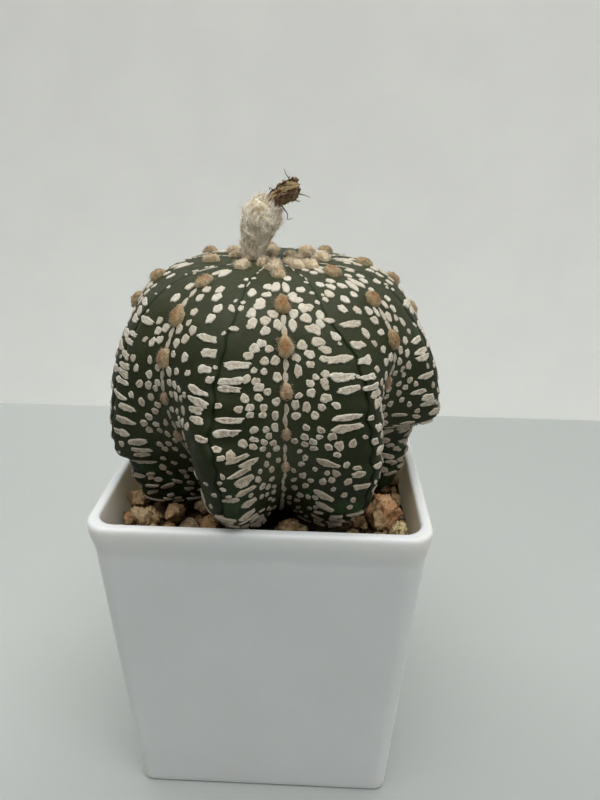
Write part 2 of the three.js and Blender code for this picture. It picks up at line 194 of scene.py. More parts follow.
class Finish:
    """A Principled material and short ways to add nodes to it."""

    def __init__(self, name, **sockets):
        self.material = bpy.data.materials.new(name)
        self.material.use_nodes = True
        self.tree = self.material.node_tree
        self.shader = self.tree.nodes["Principled BSDF"]
        for socket, value in sockets.items():
            self.shader.inputs[socket.replace("_", " ")].default_value = value
        self.place = self.tree.nodes.new("ShaderNodeTexCoord").outputs["Object"]
        self.tone = None  # the colour so far, a plain one or a socket

    def node(self, kind, inputs=(), **settings):
        made = self.tree.nodes.new("ShaderNode" + kind)
        for setting, value in settings.items():
            setattr(made, setting, value)
        for socket, value in dict(inputs).items():
            if isinstance(value, bpy.types.NodeSocket):
                self.tree.links.new(value, made.inputs[socket])
            else:
                made.inputs[socket].default_value = value
        return made

    def along_axis(self, axis):
        return self.node("SeparateXYZ", {"Vector": self.place}).outputs[axis]

    def noise(self, size, detail=3.0, roughness=0.55):
        """Soft mottling whose blots are about size millimetres across."""
        return self.node("TexNoise", {
            "Vector": self.place, "Scale": 1 / (size * MM), "Detail": detail,
            "Roughness": roughness,
        }).outputs["Fac"]

    def cells(self, size):
        return self.node("TexVoronoi", {
            "Vector": self.place, "Scale": 1 / (size * MM)}).outputs["Distance"]

    def value(self, label):
        return self.node("Attribute", attribute_name=label).outputs["Fac"]

    def math(self, operation, first, second):
        """A sum or product, held between 0 and 1."""
        return self.node("Math", {0: first, 1: second}, operation=operation,
                         use_clamp=True).outputs[0]

    def times(self, first, second):
        return self.math("MULTIPLY", first, second)

    def ramp(self, source, *stops):
        """Colours along a value; each stop is a place and a colour."""
        made = self.node("ValToRGB", {"Fac": source})
        elements = made.color_ramp.elements
        while len(elements) < len(stops):
            elements.new(0.5)
        for element, (place, colour) in zip(elements, stops):
            element.position = place
            element.color = shade(*colour)
        return made.outputs["Color"]

    def spread(self, source, low, high, start=0.0, end=1.0):
        """Maps low..high of a value to start..end."""
        return self.node("MapRange", {
            "Value": source, "From Min": low, "From Max": high, "To Min": start, "To Max": end,
        }).outputs["Result"]

    def blots(self, grain, low, high, start=0.0, end=1.0):
        """Noise of a grain, mapped as by spread."""
        return self.spread(self.noise(*grain), low, high, start, end)

    def paint(self, share, colour, how="MIX"):
        """Lays a colour over the tone so far, as far as a share."""
        self.tone = self.node("MixRGB", {"Fac": share, "Color1": self.tone, "Color2": colour},
                              blend_type=how).outputs["Color"]

    def stain(self, share, *colour):
        self.paint(share, shade(*colour))

    def done(self):
        self.tree.links.new(self.tone, self.shader.inputs["Base Color"])
        return self.material

    def rough(self, source):
        self.tree.links.new(source, self.shader.inputs["Roughness"])

    def bump(self, *layers):
        """Each layer is a height, its depth in millimetres and its strength."""
        below = None
        for height, depth, strength in layers:
            inputs = {"Height": height, "Distance": depth * MM, "Strength": strength}
            if below:
                inputs["Normal"] = below
            below = self.node("Bump", inputs).outputs["Normal"]
        self.tree.links.new(below, self.shader.inputs["Normal"])


# The skin of the cactus, by the CAD source's own rule but with a finer, wavier suture

RIBS = 8
CENTRE_X, CENTRE_Y = 0.9, -0.5
CROWN_HEIGHT = 126.6
SOIL_TOP = 70
# The plant's flank, radius and height, from the growing point down to the neck
FLANK = np.array([
    [0, CROWN_HEIGHT], [6, 126.6], [11.5, 126.5], [17, 126.0], [22.5, 124.4], [27.4, 121.0],
    [31.2, 116.0], [34.4, 110.4], [36.6, 104.4], [37.7, 98], [37.8, 92.5], [36.9, 87.6],
    [36.0, 82.6], [35.0, 79.2], [32.8, 76.4], [28.8, 74.4], [20, 72.8], [8, 70.3],
])
# For each of the ribs, angles in degrees to the right of the front: its areole line, the suture
# beyond it, and how far that suture leans at the crown and at the foot
AREOLE_LINE = np.array([8, 51.5, 98, 143, 188, 233, 278, 323.5])
SUTURE_LINE = np.array([32.5, 75, 120, 166, 211, 256, 302, 346.5])
SUTURE_CROWN_LEAN = np.array([-8, -3, 0, 0, 0, 0, 3, 3])
SUTURE_FOOT_LEAN = np.array([1, 0, 0, 0, 0, 0, 0, 2.5])
# How much lower each valley starts, and the height, depth and softness of each bulge's chin
VALLEY_SHIFT = np.array([4, -8, -2, 0, 0, -2, -2, -3])
CHIN_HEIGHT = np.array([81, 94.5, 92, 90, 90, 89, 88, 81])
CHIN_CUT = np.array([0.12, 0.14, 0.10, 0.08, 0.08, 0.08, 0.05, 0.13])
CHIN_ROUND = np.array([5, 1.3, 1.3, 2, 2, 1.3, 1.3, 5])
HALF_BULGE = math.pi / RIBS
# The valley at an areole line: its depth as a share of the radius, from which height and how
# far it deepens, and the height of the neck, where it ends
VALLEY_DEPTH, VALLEY_TOP, VALLEY_FALL = 0.46, 124, 48
NECK_HEIGHT = 70.2
# Unevenness of the skin: lumps, each a height, a wavelength and a seed, then the pleats of the
# bulges and the folds under their chins
LUMPS = [(0.4, 17, 3), (0.14, 5, 4)]
PLEAT_HEIGHT, PLEAT_LENGTH = 0.16, 3.9
FOLD_HEIGHT, FOLD_LENGTH = 0.35, 4.4
# The suture's groove, on the crown and on the flank, and the low lips beside it
GROOVE_WIDTHS, GROOVE_DEPTHS = (0.2, 0.26), (0.3, 0.55)
LIP_RISE, LIP_PLACE, LIP_SPREAD = 0.07, 1.5, 0.7

# The smooth healed scar on the front left bulge: its turn, height and size
SCAR_TURN, SCAR_HEIGHT = 14.97, 96.5
SCAR_WIDTH, SCAR_LENGTH, SCAR_STAND = 0.34, 6.5, 1.5


def flank(along):
    """Radius and height from the crown, 0, to the neck, 1."""
    place = np.clip(along, 0, 1) * (len(FLANK) - 1)
    knot = np.minimum(place.astype(int), len(FLANK) - 2)
    share = (place - knot)[..., None]
    before, start, end, after = (
        FLANK[np.clip(knot + step, 0, len(FLANK) - 1)] for step in (-1, 0, 1, 2))
    leaving, arriving = (end - before) / 2, (after - start) / 2
    cubic = 2 * start - 2 * end + leaving + arriving
    square = -3 * start + 3 * end - 2 * leaving - arriving
    point = ((cubic * share + square) * share + leaving) * share + start
    return point[..., 0], point[..., 1]


def panel(turn):
    """The bulge, its side and the share of the way from areole line to suture. A turn counts
    half bulges round the plant: even on an areole line and odd on a suture."""
    turn = np.mod(turn, 2 * RIBS) % (2 * RIBS)
    rib = (turn // 2).astype(int) % RIBS
    step = turn - 2 * rib
    side = (step > 1).astype(int)
    return rib, side, np.where(side == 1, 2 - step, step)


def skin(turn, along, groove=True):
    """Points of the skin at turns and alongs, with or without the groove of the suture."""
    turn, along = np.broadcast_arrays(np.asarray(turn, float), np.asarray(along, float))
    rib, side, across = panel(turn)
    radius, z = flank(along)
    valley = (rib + side) % RIBS
    line = AREOLE_LINE[valley] + np.where(rib + side == RIBS, 360, 0)
    suture = (SUTURE_LINE[rib] + SUTURE_CROWN_LEAN[rib] * ease(112, 124, z)
              + SUTURE_FOOT_LEAN[rib] * ease(103, 94, z))
    waver = 0.45 * np.sin(z / 1.3 + 2 * rib) + 0.35 * np.sin(z / 0.67 + 5 * rib)
    suture = suture + waver * ease(123, 117, z) * ease(74, 80, z)
    angle = np.radians(blend(line, suture, across))

    height = z + VALLEY_SHIFT[valley] * ease(116, 104, z)
    fall = np.clip((VALLEY_TOP - height) / VALLEY_FALL, 0, 1.05)
    depth = VALLEY_DEPTH * fall ** 1.65 * ease(NECK_HEIGHT, 72, z)
    hollow = depth * (0.5 + 0.5 * np.cos(np.pi * across)) ** 1.15
    chin, soft = CHIN_HEIGHT[rib], CHIN_ROUND[rib]
    below = ease(chin + soft, chin - soft, z)
    tuck = CHIN_CUT[rib] * np.sin(across * np.pi / 2) * below * ease(NECK_HEIGHT, 73, z)
    reach = radius * (1 - hollow) * (1 - tuck)

    plain = np.stack([reach * np.sin(angle), -reach * np.cos(angle), z], -1)
    firm = ease(0, 12, radius) * ease(70.5, 74, z)
    for rise, length, seed in LUMPS:
        reach = reach + rise * firm * ripples(plain, length, seed)
    pleats = np.sin(FULL_TURN * (z + 1.5 * rib) / PLEAT_LENGTH + 1.2 * np.sin(z / 7 + rib))
    reach = reach + PLEAT_HEIGHT * pleats * across ** 3 * ease(119, 110, z) * ease(76, 82, z)
    folds = np.sin(FULL_TURN * (z - 2 * across) / FOLD_LENGTH + rib)
    reach = reach + FOLD_HEIGHT * folds * ease(chin, chin - 4, z) * across * ease(72, 75, z)
    from_scar = ((np.mod(turn, 2 * RIBS) - SCAR_TURN) / SCAR_WIDTH) ** 2
    from_scar = from_scar + ((z - SCAR_HEIGHT) / SCAR_LENGTH) ** 2
    reach = reach + SCAR_STAND * np.exp(-1.2 * from_scar ** 1.5)
    if groove:
        reach = reach - groove_depth(radius, across, z)
    return np.stack([CENTRE_X + reach * np.sin(angle), CENTRE_Y - reach * np.cos(angle), z], -1)


def groove_depth(radius, across, z):
    """The suture: a fine crease on the crown that opens into a narrow groove on the flank."""
    crown_depth, flank_depth = GROOVE_DEPTHS
    away = (1 - across) * HALF_BULGE * radius
    flank_share = ease(124, 112, z) * ease(72, 80, z)
    width = blend(*GROOVE_WIDTHS, flank_share)
    depth = crown_depth * ease(4, 9, radius) + (flank_depth - crown_depth) * flank_share
    lips = LIP_RISE * flank_share * np.exp(-((away - LIP_PLACE) / LIP_SPREAD) ** 2)
    return depth * np.exp(-(away / width) ** 1.6) * ease(71, 74, z) - lips


TURN_STEP, ALONG_STEP = 0.02, 0.002


def skin_frame(turn, along):
    """The outward normal at places of the skin, and the millimetres per turn and per along."""
    round_it = (skin(turn + TURN_STEP, along, False) - skin(turn - TURN_STEP, along, False))
    down_it = (skin(turn, along + ALONG_STEP, False) - skin(turn, along - ALONG_STEP, False))
    out = unit(np.cross(down_it, round_it))
    per_turn = np.linalg.norm(round_it, axis=-1) / (2 * TURN_STEP)
    per_along = np.linalg.norm(down_it, axis=-1) / (2 * ALONG_STEP)
    return out, per_turn, per_along


def scale_at(turn, along):
    """The millimetres per turn and per along at one place."""
    _, per_turn, per_along = skin_frame(np.array([turn]), np.array([along]))
    return per_turn[0], per_along[0]


def laid_on_skin(turn, along, right, down, out):
    """Points at offsets in millimetres from places on the skin, laid onto it."""
    _, per_turn, per_along = skin_frame(turn, along)
    turns = turn[:, None] + right / np.maximum(per_turn, 1.5)[:, None]
    alongs = np.maximum(along[:, None] + down / per_along[:, None], 0.003)
    normal, _, _ = skin_frame(turns, alongs)
    return skin(turns, alongs, False) + normal * out[..., None]


BODY_ROWS = 215
HEEL_HEIGHT = SOIL_TOP - 8
CREASE_WIDTH = 0.32
BODY_ACROSS = np.array([
    0, 0.05, 0.1, 0.16, 0.22, 0.28, 0.34, 0.4, 0.46, 0.52, 0.58, 0.64, 0.7, 0.75, 0.8, 0.84,
    0.88, 0.91, 0.935, 0.955, 0.97, 0.98, 0.99, 1.0,
])


def make_body(material):
    """The plant's skin from the growing point down into the soil, with a narrow grid by the
    sutures."""
    one_bulge = np.concatenate([BODY_ACROSS, 2 - BODY_ACROSS[-2:0:-1]])
    turns = np.concatenate([one_bulge + 2 * rib for rib in range(RIBS)])
    alongs = np.linspace(0.012, 1, BODY_ROWS)
    points = skin(turns[None, :], alongs[:, None])
    # The neck goes on down into the soil
    foot = points[-1] + np.array([0, 0, HEEL_HEIGHT - points[-1][0, 2]])
    points = np.concatenate([points, foot[None]])
    rows, columns = points.shape[:2]
    _, _, across = panel(np.broadcast_to(turns, (rows, columns)))
    radius = np.hypot(points[..., 0] - CENTRE_X, points[..., 1] - CENTRE_Y)
    # crease: where the finish darkens the suture, partly its own deeper green, partly painted shade.
    crease = np.exp(-((1 - across) * HALF_BULGE * radius / CREASE_WIDTH) ** 2)
    valley = (1 - across) ** 2.5 * ease(118, 92, points[..., 2])
    ends = [[CENTRE_X, CENTRE_Y, z] for z in (CROWN_HEIGHT - 0.2, HEEL_HEIGHT)]
    shape = Shape("crease", "valley")
    shape.add(*closed_body(points, ends, flipped=True),
              crease=np.append(crease, [0, 0]), valley=np.append(valley, [0, 0]))
    return shape.piece("cactus_skin", material, "cactus_skin", ["cactus"])


# Flecks: pads of felted hair on the skin

# Where the wool tufts stand on each areole line, from the crown to the foot
AREOLES = np.array([
    [0.045, 0.145, 0.258, 0.340, 0.417, 0.495, 0.575],
    [0.045, 0.100, 0.168, 0.272, 0.358, 0.450, 0.535],
    [0.050, 0.105, 0.200, 0.278, 0.360, 0.445, 0.530],
    [0.055, 0.115, 0.190, 0.270, 0.352, 0.437, 0.522],
    [0.050, 0.100, 0.180, 0.262, 0.345, 0.430, 0.515],
    [0.050, 0.120, 0.205, 0.285, 0.368, 0.452, 0.537],
    [0.055, 0.138, 0.262, 0.330, 0.410, 0.492, 0.577],
    [0.035, 0.104, 0.212, 0.307, 0.387, 0.467, 0.552],
])
AREOLE_STEP = 0.085
# Young wool that runs together about the growing point: [turn, along, half its width]
CROWN_WOOL = [
    [8.3, 0.020, 1.2], [1.4, 0.090, 1.3], [15.8, 0.098, 1.4], [14.7, 0.066, 1.0],
    [11.0, 0.085, 1.1], [5.2, 0.080, 1.0],
]
# The rings of a fleck from its edge inward: reach, rise, and how far each is edge or middle
RING_REACH = np.array([1.0, 0.99, 0.88, 0.6, 0.3])
RING_RISE = np.array([-0.8, 0.45, 0.95, 0.92, 0.84])
RING_FOOT = np.array([1, 0.6, 0.1, 0, 0])
RING_MIDDLE = np.array([0, 0, 0.2, 0.9, 1.0])
# A fleck longer than this is a bar
BAR_LENGTH = 2.6
DOT_CORNERS, BAR_CORNERS = 15, 34
DOT_TRIES = 12000

# Bars beside the sutures of the four front panels: [along, across, length, width]
FRONT_BARS = {
    (6, 1): [
        [0.330, 0.74, 4.6, 1.4], [0.365, 0.95, 3.6, 1.0], [0.380, 0.93, 3.8, 1.0],
        [0.407, 0.94, 3.8, 1.2], [0.425, 0.86, 4.2, 1.2], [0.441, 0.88, 4.8, 1.2],
        [0.456, 0.84, 4.8, 1.2], [0.482, 0.84, 5.0, 1.1], [0.500, 0.66, 4.4, 1.2],
        [0.527, 0.70, 5.2, 1.3], [0.557, 0.78, 3.8, 1.4], [0.575, 0.58, 4.3, 1.4],
        [0.600, 0.58, 4.4, 0.9], [0.614, 0.60, 3.5, 1.0], [0.645, 0.66, 5.2, 1.3],
    ],
    (7, 0): [
        [0.330, 0.72, 4.1, 1.3], [0.355, 0.80, 2.9, 1.8], [0.383, 0.80, 2.7, 1.5],
        [0.400, 0.92, 1.5, 1.5], [0.420, 0.78, 4.2, 1.3], [0.438, 0.77, 4.6, 1.4],
        [0.453, 0.76, 3.3, 1.3], [0.470, 0.78, 3.4, 1.3], [0.492, 0.92, 2.6, 1.3],
        [0.590, 0.62, 3.4, 1.1],
    ],
    (7, 1): [
        [0.312, 0.93, 1.9, 1.0], [0.372, 0.74, 5.0, 1.3], [0.398, 0.78, 4.4, 1.4],
        [0.411, 0.78, 4.4, 1.1], [0.440, 0.94, 1.3, 1.0], [0.463, 0.78, 5.3, 1.0],
        [0.482, 0.78, 4.8, 1.4], [0.507, 0.92, 1.6, 1.4], [0.520, 0.90, 1.5, 1.0],
    ],
    (0, 0): [
        [0.365, 0.74, 5.2, 1.4], [0.395, 0.74, 5.0, 1.5], [0.417, 0.76, 4.6, 1.3],
        [0.430, 0.48, 2.1, 1.6], [0.463, 0.74, 5.5, 1.2], [0.481, 0.74, 6.0, 1.4],
    ],
    (0, 1): [
        [0.310, 0.70, 4.4, 1.4], [0.347, 0.82, 3.1, 1.7], [0.375, 0.86, 3.3, 1.4],
        [0.403, 0.88, 3.4, 1.2], [0.418, 0.88, 3.8, 1.1], [0.435, 0.80, 2.8, 1.5],
        [0.451, 0.80, 2.4, 1.8], [0.472, 0.92, 1.4, 1.0], [0.492, 0.84, 1.9, 1.5],
        [0.515, 0.93, 1.5, 1.4], [0.532, 0.88, 1.6, 1.6], [0.565, 0.90, 2.3, 1.1],
    ],
    (1, 0): [
        [0.380, 0.66, 4.6, 1.2], [0.403, 0.70, 5.2, 1.3], [0.416, 0.70, 4.8, 1.2],
        [0.453, 0.68, 4.8, 1.1], [0.485, 0.56, 3.6, 1.0], [0.497, 0.70, 3.4, 1.5],
        [0.512, 0.72, 4.6, 1.2],
    ],
}

# Oval flecks on the upper front panels: [along, across]
FRONT_OVALS = {
    (6, 1): [[0.234, 0.28], [0.270, 0.36]],
    (7, 0): [[0.227, 0.51], [0.249, 0.55], [0.274, 0.68], [0.296, 0.63]],
    (7, 1): [[0.204, 0.38], [0.227, 0.78], [0.252, 0.52], [0.277, 0.67], [0.297, 0.62]],
    (0, 0): [[0.167, 0.32], [0.217, 0.60], [0.243, 0.30], [0.267, 0.50], [0.285, 0.84],
             [0.302, 0.76], [0.327, 0.90]],
    (0, 1): [[0.205, 0.78], [0.217, 0.60], [0.257, 0.54], [0.277, 0.69]],
}
# Slanted bars above the feet of the two front bulges: [along, across, length, width, slant]
FRONT_SLANTS = {
    (7, 1): [[0.527, 0.70, 4.8, 1.0, 9], [0.541, 0.57, 4.2, 1.1, 9], [0.556, 0.70, 5.0, 1.1, 10],
             [0.580, 0.64, 4.4, 1.9, 14], [0.606, 0.66, 4.6, 1.1, 8], [0.625, 0.86, 3.2, 1.1, 0],
             [0.650, 0.62, 3.8, 1.6, 12]],
    (0, 0): [[0.552, 0.52, 4.5, 1.3, 12], [0.561, 0.82, 1.8, 0.9, -6], [0.576, 0.82, 2.9, 1.3, -8],
             [0.610, 0.88, 3.4, 1.1, -6], [0.650, 0.53, 4.6, 1.5, 16], [0.688, 0.56, 4.5, 1.5, 16],
             [0.760, 0.56, 3.8, 0.8, 22]],
}

# Pads about the tufts of the front line, by the tuft's place: [right, down, width, height],
# with right and width as seen from the front
FRONT_PADS = {
    0.258: [
        [-4.3, 0.3, 2.2, 1.9], [-2.8, -2.7, 2.0, 1.4], [1.8, -2.5, 1.9, 1.4], [2.8, -1.1, 1.8, 1.5],
        [4.4, 0.9, 2.3, 1.7], [-1.9, 2.1, 2.2, 1.7], [-3.3, 3.5, 2.1, 1.8], [-1.1, 4.3, 1.6, 2.3],
        [-3.4, 5.5, 2.0, 1.6], [1.8, 2.1, 1.8, 2.0], [1.5, 4.4, 1.6, 2.4], [3.9, 3.2, 2.0, 2.0],
        [5.1, 5.4, 2.6, 2.2], [-6.0, 4.6, 1.4, 1.3], [-6.2, 2.5, 1.0, 1.0], [7.9, 4.0, 1.4, 1.1],
    ],
    0.340: [
        [-4.1, -0.6, 1.8, 1.5], [-2.8, 0.4, 1.6, 1.4], [-5.4, 0.3, 1.9, 1.8], [-6.5, 1.6, 1.9, 1.6],
        [-3.7, 2.6, 1.7, 1.5], [-1.8, 2.5, 1.7, 1.8], [-3.8, 4.5, 1.3, 1.2], [-1.5, 5.5, 1.5, 2.0],
        [-7.0, 5.7, 1.8, 1.6], [-4.8, 7.2, 1.8, 1.8], [3.0, -0.2, 1.9, 1.8], [5.9, -0.7, 2.4, 1.9],
        [4.3, 1.5, 1.9, 1.7], [1.9, 2.0, 1.6, 1.6], [7.1, 0.8, 2.2, 1.7], [6.8, 2.4, 1.6, 1.4],
        [4.4, 3.3, 1.5, 1.4], [2.2, 4.4, 1.4, 2.4], [5.3, 5.5, 1.4, 1.1], [7.0, 5.0, 1.6, 1.5],
        [7.0, 7.2, 1.4, 1.3],
    ],
    0.417: [
        [-5.3, -1.9, 1.6, 1.5], [-3.3, 0.0, 1.5, 1.3], [-4.9, 1.0, 1.6, 1.4], [-7.3, 1.0, 1.6, 1.7],
        [-1.8, 1.8, 1.5, 1.6], [-4.0, 2.8, 1.4, 1.4], [-4.2, 4.1, 1.4, 1.3], [-6.4, 2.6, 1.6, 1.4],
        [-6.4, 3.9, 1.5, 1.2], [-8.4, 2.8, 1.7, 1.3], [-2.0, 4.4, 1.3, 1.9], [4.3, -1.5, 1.6, 1.4],
        [4.4, 0.2, 1.6, 1.6], [1.6, 2.4, 1.5, 1.8], [3.6, 2.8, 1.5, 2.1], [1.7, 4.5, 1.8, 1.4],
        [6.3, 2.8, 1.6, 1.3], [6.8, -1.8, 1.5, 1.4], [2.2, 0.7, 1.5, 1.0], [8.9, 2.6, 1.8, 1.3],
    ],
    0.495: [
        [-5.7, -1.5, 1.6, 1.4], [-3.6, -1.3, 1.3, 1.3], [-3.1, 0.1, 1.2, 1.4], [-5.7, 0.5, 1.5, 1.2],
        [-5.8, 1.9, 1.4, 1.3], [-3.9, 1.3, 1.2, 1.4], [-4.1, 2.7, 1.1, 1.1], [-2.3, 1.8, 1.3, 1.3],
        [-1.7, 3.3, 1.3, 1.5], [-7.6, 1.0, 1.6, 1.8], [-9.6, 2.7, 1.6, 2.0], [3.6, -1.6, 1.4, 1.3],
        [3.4, 0.5, 1.6, 1.4], [1.6, 1.6, 1.4, 1.2], [3.5, 2.2, 1.5, 1.2], [5.0, 1.5, 1.6, 1.4],
        [5.2, 3.0, 1.5, 1.2], [6.3, -1.2, 1.5, 1.4], [6.1, 0.3, 1.3, 1.1], [8.4, 0.1, 1.7, 1.6],
        [7.9, 2.4, 1.4, 1.6], [9.8, 2.0, 1.8, 1.9], [9.6, 4.0, 1.5, 1.1], [2.6, 4.2, 1.1, 0.9],
    ],
}

# Circles that stand for a long fleck, the middle one, and how many circles there is room for
CIRCLES, MIDDLE_CIRCLE, CIRCLE_ROOM = 5, 2, 6000


class Cover:
    """The flecks chosen so far, and the circles, place and radius, that they take up."""

    def __init__(self):
        self.offered, self.rows = [], []
        self.spots = np.zeros((CIRCLE_ROOM, 4))
        self.count = 0

    def offer(self, turn, along, length, width, turned, square, rise, tint, gap=-1):
        """Offers a fleck. With a gap of 0 or more it is only laid where no other lies within
        that gap."""
        self.offered.append((turn, along, length, width, turned, square, rise, tint, gap))

    def reserve(self, turn, along, radius):
        """Keeps flecks away from a place."""
        spot = skin(np.array([turn]), np.array([along]), False)[0]
        self.spots[self.count] = [*spot, radius]
        self.count += 1

    def settle(self):
        """Lays the flecks on offer in their order."""
        table = np.array(self.offered)
        turn, along, length, width, turned = table[:, :5].T
        radius = np.minimum(length, width) / 2
        reach = np.maximum(length, width) / 2 - radius
        lean = np.radians(turned) + np.where(length >= width, 0, math.pi / 2)
        offsets = reach[:, None] * np.linspace(-1, 1, CIRCLES)
        centres = laid_on_skin(turn, along, offsets * np.cos(lean)[:, None],
                               offsets * np.sin(lean)[:, None], np.zeros(offsets.shape))
        for row, circles, own in zip(self.offered, centres, radius):
            gap = row[-1]
            if gap >= 0:
                spots = self.spots[:self.count]
                spots = spots[abs(spots[:, 2] - circles[MIDDLE_CIRCLE, 2]) < 7]
                apart = ((circles[:, None] - spots[None, :, :3]) ** 2).sum(axis=-1)
                if (apart < (own + spots[:, 3] + gap) ** 2).any():
                    continue
            long = abs(row[2] - row[3]) / 2 > 0.35 * own
            kept = circles if long else circles[MIDDLE_CIRCLE:MIDDLE_CIRCLE + 1]
            self.spots[self.count:self.count + len(kept), :3] = kept
            self.spots[self.count:self.count + len(kept), 3] = own
            self.count += len(kept)
            self.rows.append(row[:-1])


def choose_areole_lines(cover, source):
    """The tufts' places, and the pads and pointed scales between them."""
    for turn, along, half in CROWN_WOOL:
        cover.reserve(turn, along, half * 0.8)
    for rib in range(RIBS):
        line, places = 2.0 * rib, AREOLES[rib]
        for index, along in enumerate(places):
            cover.reserve(line, along, 1.5 if index < 5 else 1.0)
        for index, along in enumerate(places[1:], start=1):
            below = places[index + 1] if index + 1 < len(places) else along + AREOLE_STEP
            middle = blend(along, below, 0.53)
            per_turn, per_along = scale_at(line + 0.1, middle)
            span = (below - along) * per_along
            if along < 0.18:
                # Two long pads side by side run down from each young tuft
                for way in (-1, 1):
                    cover.offer(line + way * 0.85 / per_turn, middle + source.normal(0, 0.003),
                                source.uniform(1.4, 1.75), min(span - 2.6, 4.0),
                                -way * source.uniform(2, 9), 2.4, 0.35, 0.7)
                continue
            narrow = 1 - 0.35 * ease(0.3, 0.5, along)
            for share in (0.4, 0.68):
                cover.offer(line + source.normal(0, 0.01), blend(along, below, share),
                            1.1 * narrow, source.uniform(2.4, 3.0), source.normal(0, 4), 1.6,
                            0.3, 0.2 + 0.2 * source.random())
            if along < 0.3 and rib:
                # A skirt of pads hangs below the tuft
                for right, down, across, long in ((1.25, 2.5, 1.0, 2.2), (1.5, 4.5, 1.7, 2.3),
                                                  (2.7, 2.1, 1.6, 1.9)):
                    for way in (-1, 1):
                        cover.offer(line + way * right / per_turn,
                                    along + (down + source.normal(0, 0.2)) / per_along,
                                    across, long, -way * source.uniform(0, 12), 2.3, 0.35,
                                    0.4 + 0.4 * source.random(), gap=0)
        for along in np.arange(places[-1] + AREOLE_STEP, 0.84, 0.032):
            cover.offer(line, along, source.uniform(0.9, 1.2), 2.7, source.normal(0, 5), 1.6, 0.4,
                        0.2)


# Pads on either side of the other tufts: [right, down, size]
PADS_ABOUT = [[2.2, 2.3, 1.8], [2.0, 4.7, 1.7], [4.2, 3.7, 1.8], [4.6, 1.3, 1.6],
              [4.9, 6.2, 1.8], [2.8, -1.8, 1.6], [2.9, -4.0, 1.6]]


def choose_flecks_about(cover, source):
    """Round flecks in loose rings about the tufts."""
    turns = np.linspace(-1, 1, 81)
    for line, pads in FRONT_PADS.items():
        _, per_along = scale_at(0.12, line)
        for right, down, width, height in pads:
            along = line + down / per_along
            seen = skin(turns, along, False)[:, 0]
            turn = np.interp(right + seen[len(turns) // 2], seen, turns)
            per_turn, _ = scale_at(turn, along)
            per_seen = np.interp(turn + 0.05, turns, seen) - np.interp(turn - 0.05, turns, seen)
            width = width * min(1.4, 0.1 * per_turn / per_seen)
            cover.offer(turn, along, width, height, source.normal(0, 12), 2.3, 0.3,
                        0.4 + 0.5 * source.random())
    for rib in range(1, RIBS):
        for along in AREOLES[rib][2:6]:
            line = 2.0 * rib
            per_turn, per_along = scale_at(line + 0.12, along)
            squeeze = 1 - 0.25 * ease(0.3, 0.45, along)
            for right, down, size in PADS_ABOUT:
                for way in (-1, 1):
                    shift = source.normal(0, 0.3, 2)
                    turn = line + (way * right * squeeze + shift[0]) / per_turn
                    there = along + (down + shift[1]) / per_along
                    cover.offer(turn, there, size * squeeze * source.uniform(0.85, 1.1),
                                size * squeeze * source.uniform(0.95, 1.25), source.normal(0, 14),
                                2.3, 0.3, 0.35 + 0.5 * source.random(), gap=0.08)


def choose_bars(cover, source):
    """Bars across the bulges beside each suture, listed in front and by a rule behind."""
    for rib in range(RIBS):
        for side in (0, 1):
            way = 1 if side == 0 else -1
            suture = 2 * rib + 1
            bars = FRONT_BARS.get((rib, side))
            if bars is None:
                bars, along = [], 0.30 + 0.03 * source.random()
                while along < 0.57:
                    bars.append([along, source.uniform(0.72, 0.82), source.uniform(3.2, 6.2),
                                 source.uniform(1.2, 1.8)])
                    along += source.choice([0.017, 0.026, 0.034, 0.045])
            for along, across, length, width in bars:
                cover.offer(suture - way * (1 - across), along + source.normal(0, 0.001),
                            length, width, source.normal(0, 4), 3.2, 0.35,
                            0.55 + 0.45 * source.random())
            for along, across in FRONT_OVALS.get((rib, side), []):
                cover.offer(suture - way * (1 - across), along, source.uniform(1.6, 1.9),
                            source.uniform(1.9, 2.4), way * source.uniform(0, 25), 2.1, 0.3,
                            0.8 + 0.2 * source.random())
            for along, across, length, width, slant in FRONT_SLANTS.get((rib, side), []):
                cover.offer(suture - way * (1 - across), along, length, width, way * slant, 2.6,
                            0.35, 0.25 + 0.4 * source.random())
            # Toward the chin the bars tilt, with the end by the valley higher
            for along in np.arange(0.545, 0.71, 0.0235):
                by_hand = (rib, side) in FRONT_SLANTS or (rib, side) in FRONT_BARS
                if by_hand and (along < 0.64 or rib == 6):
                    continue
                cover.offer(suture - way * (1 - source.uniform(0.5, 0.72)),
                            along + source.normal(0, 0.003), source.uniform(3.4, 5.4),
                            source.uniform(1.1, 1.7), way * source.uniform(8, 26), 2.7, 0.35,
                            0.2 + 0.5 * source.random(), gap=0.15)


def choose_lips(cover, source):
    """Broken threads along each suture on the crown, and small flecks beside it lower down."""
    for rib in range(RIBS):
        suture, way = 2 * rib + 1, source.choice([-1, 1])
        for along in np.arange(0.07, 0.2, 0.021):
            if source.random() < 0.75:
                cover.offer(suture + way * source.uniform(0.01, 0.05), along, 0.28,
                            source.uniform(1.2, 2.4), source.normal(0, 5), 2.2, 0.2, 0.8)
        for way in (-1, 1):
            for along in np.arange(0.15, 0.62, 0.021):
                if source.random() < 0.5:
                    size = source.uniform(0.6, 1.2)
                    cover.offer(suture + way * source.uniform(0.05, 0.12),
                                along + source.normal(0, 0.005), size,
                                size * source.uniform(0.8, 1.7), source.normal(0, 30), 2.0, 0.3,
                                0.5 + 0.5 * source.random(), gap=0.1)


# Scales on the old foot of each bulge: how many are tried, where they start, how far from the
# suture they reach, and how level they lie
CRUSTS = [[70, 0.70, 0.55, 14], [330, 0.525, 0.52, 7], [150, 0.62, 0.6, 20], [150, 0.62, 0.6, 20],
          [150, 0.62, 0.6, 20], [150, 0.62, 0.6, 20], [70, 0.68, 0.6, 14], [90, 0.68, 0.55, 18]]


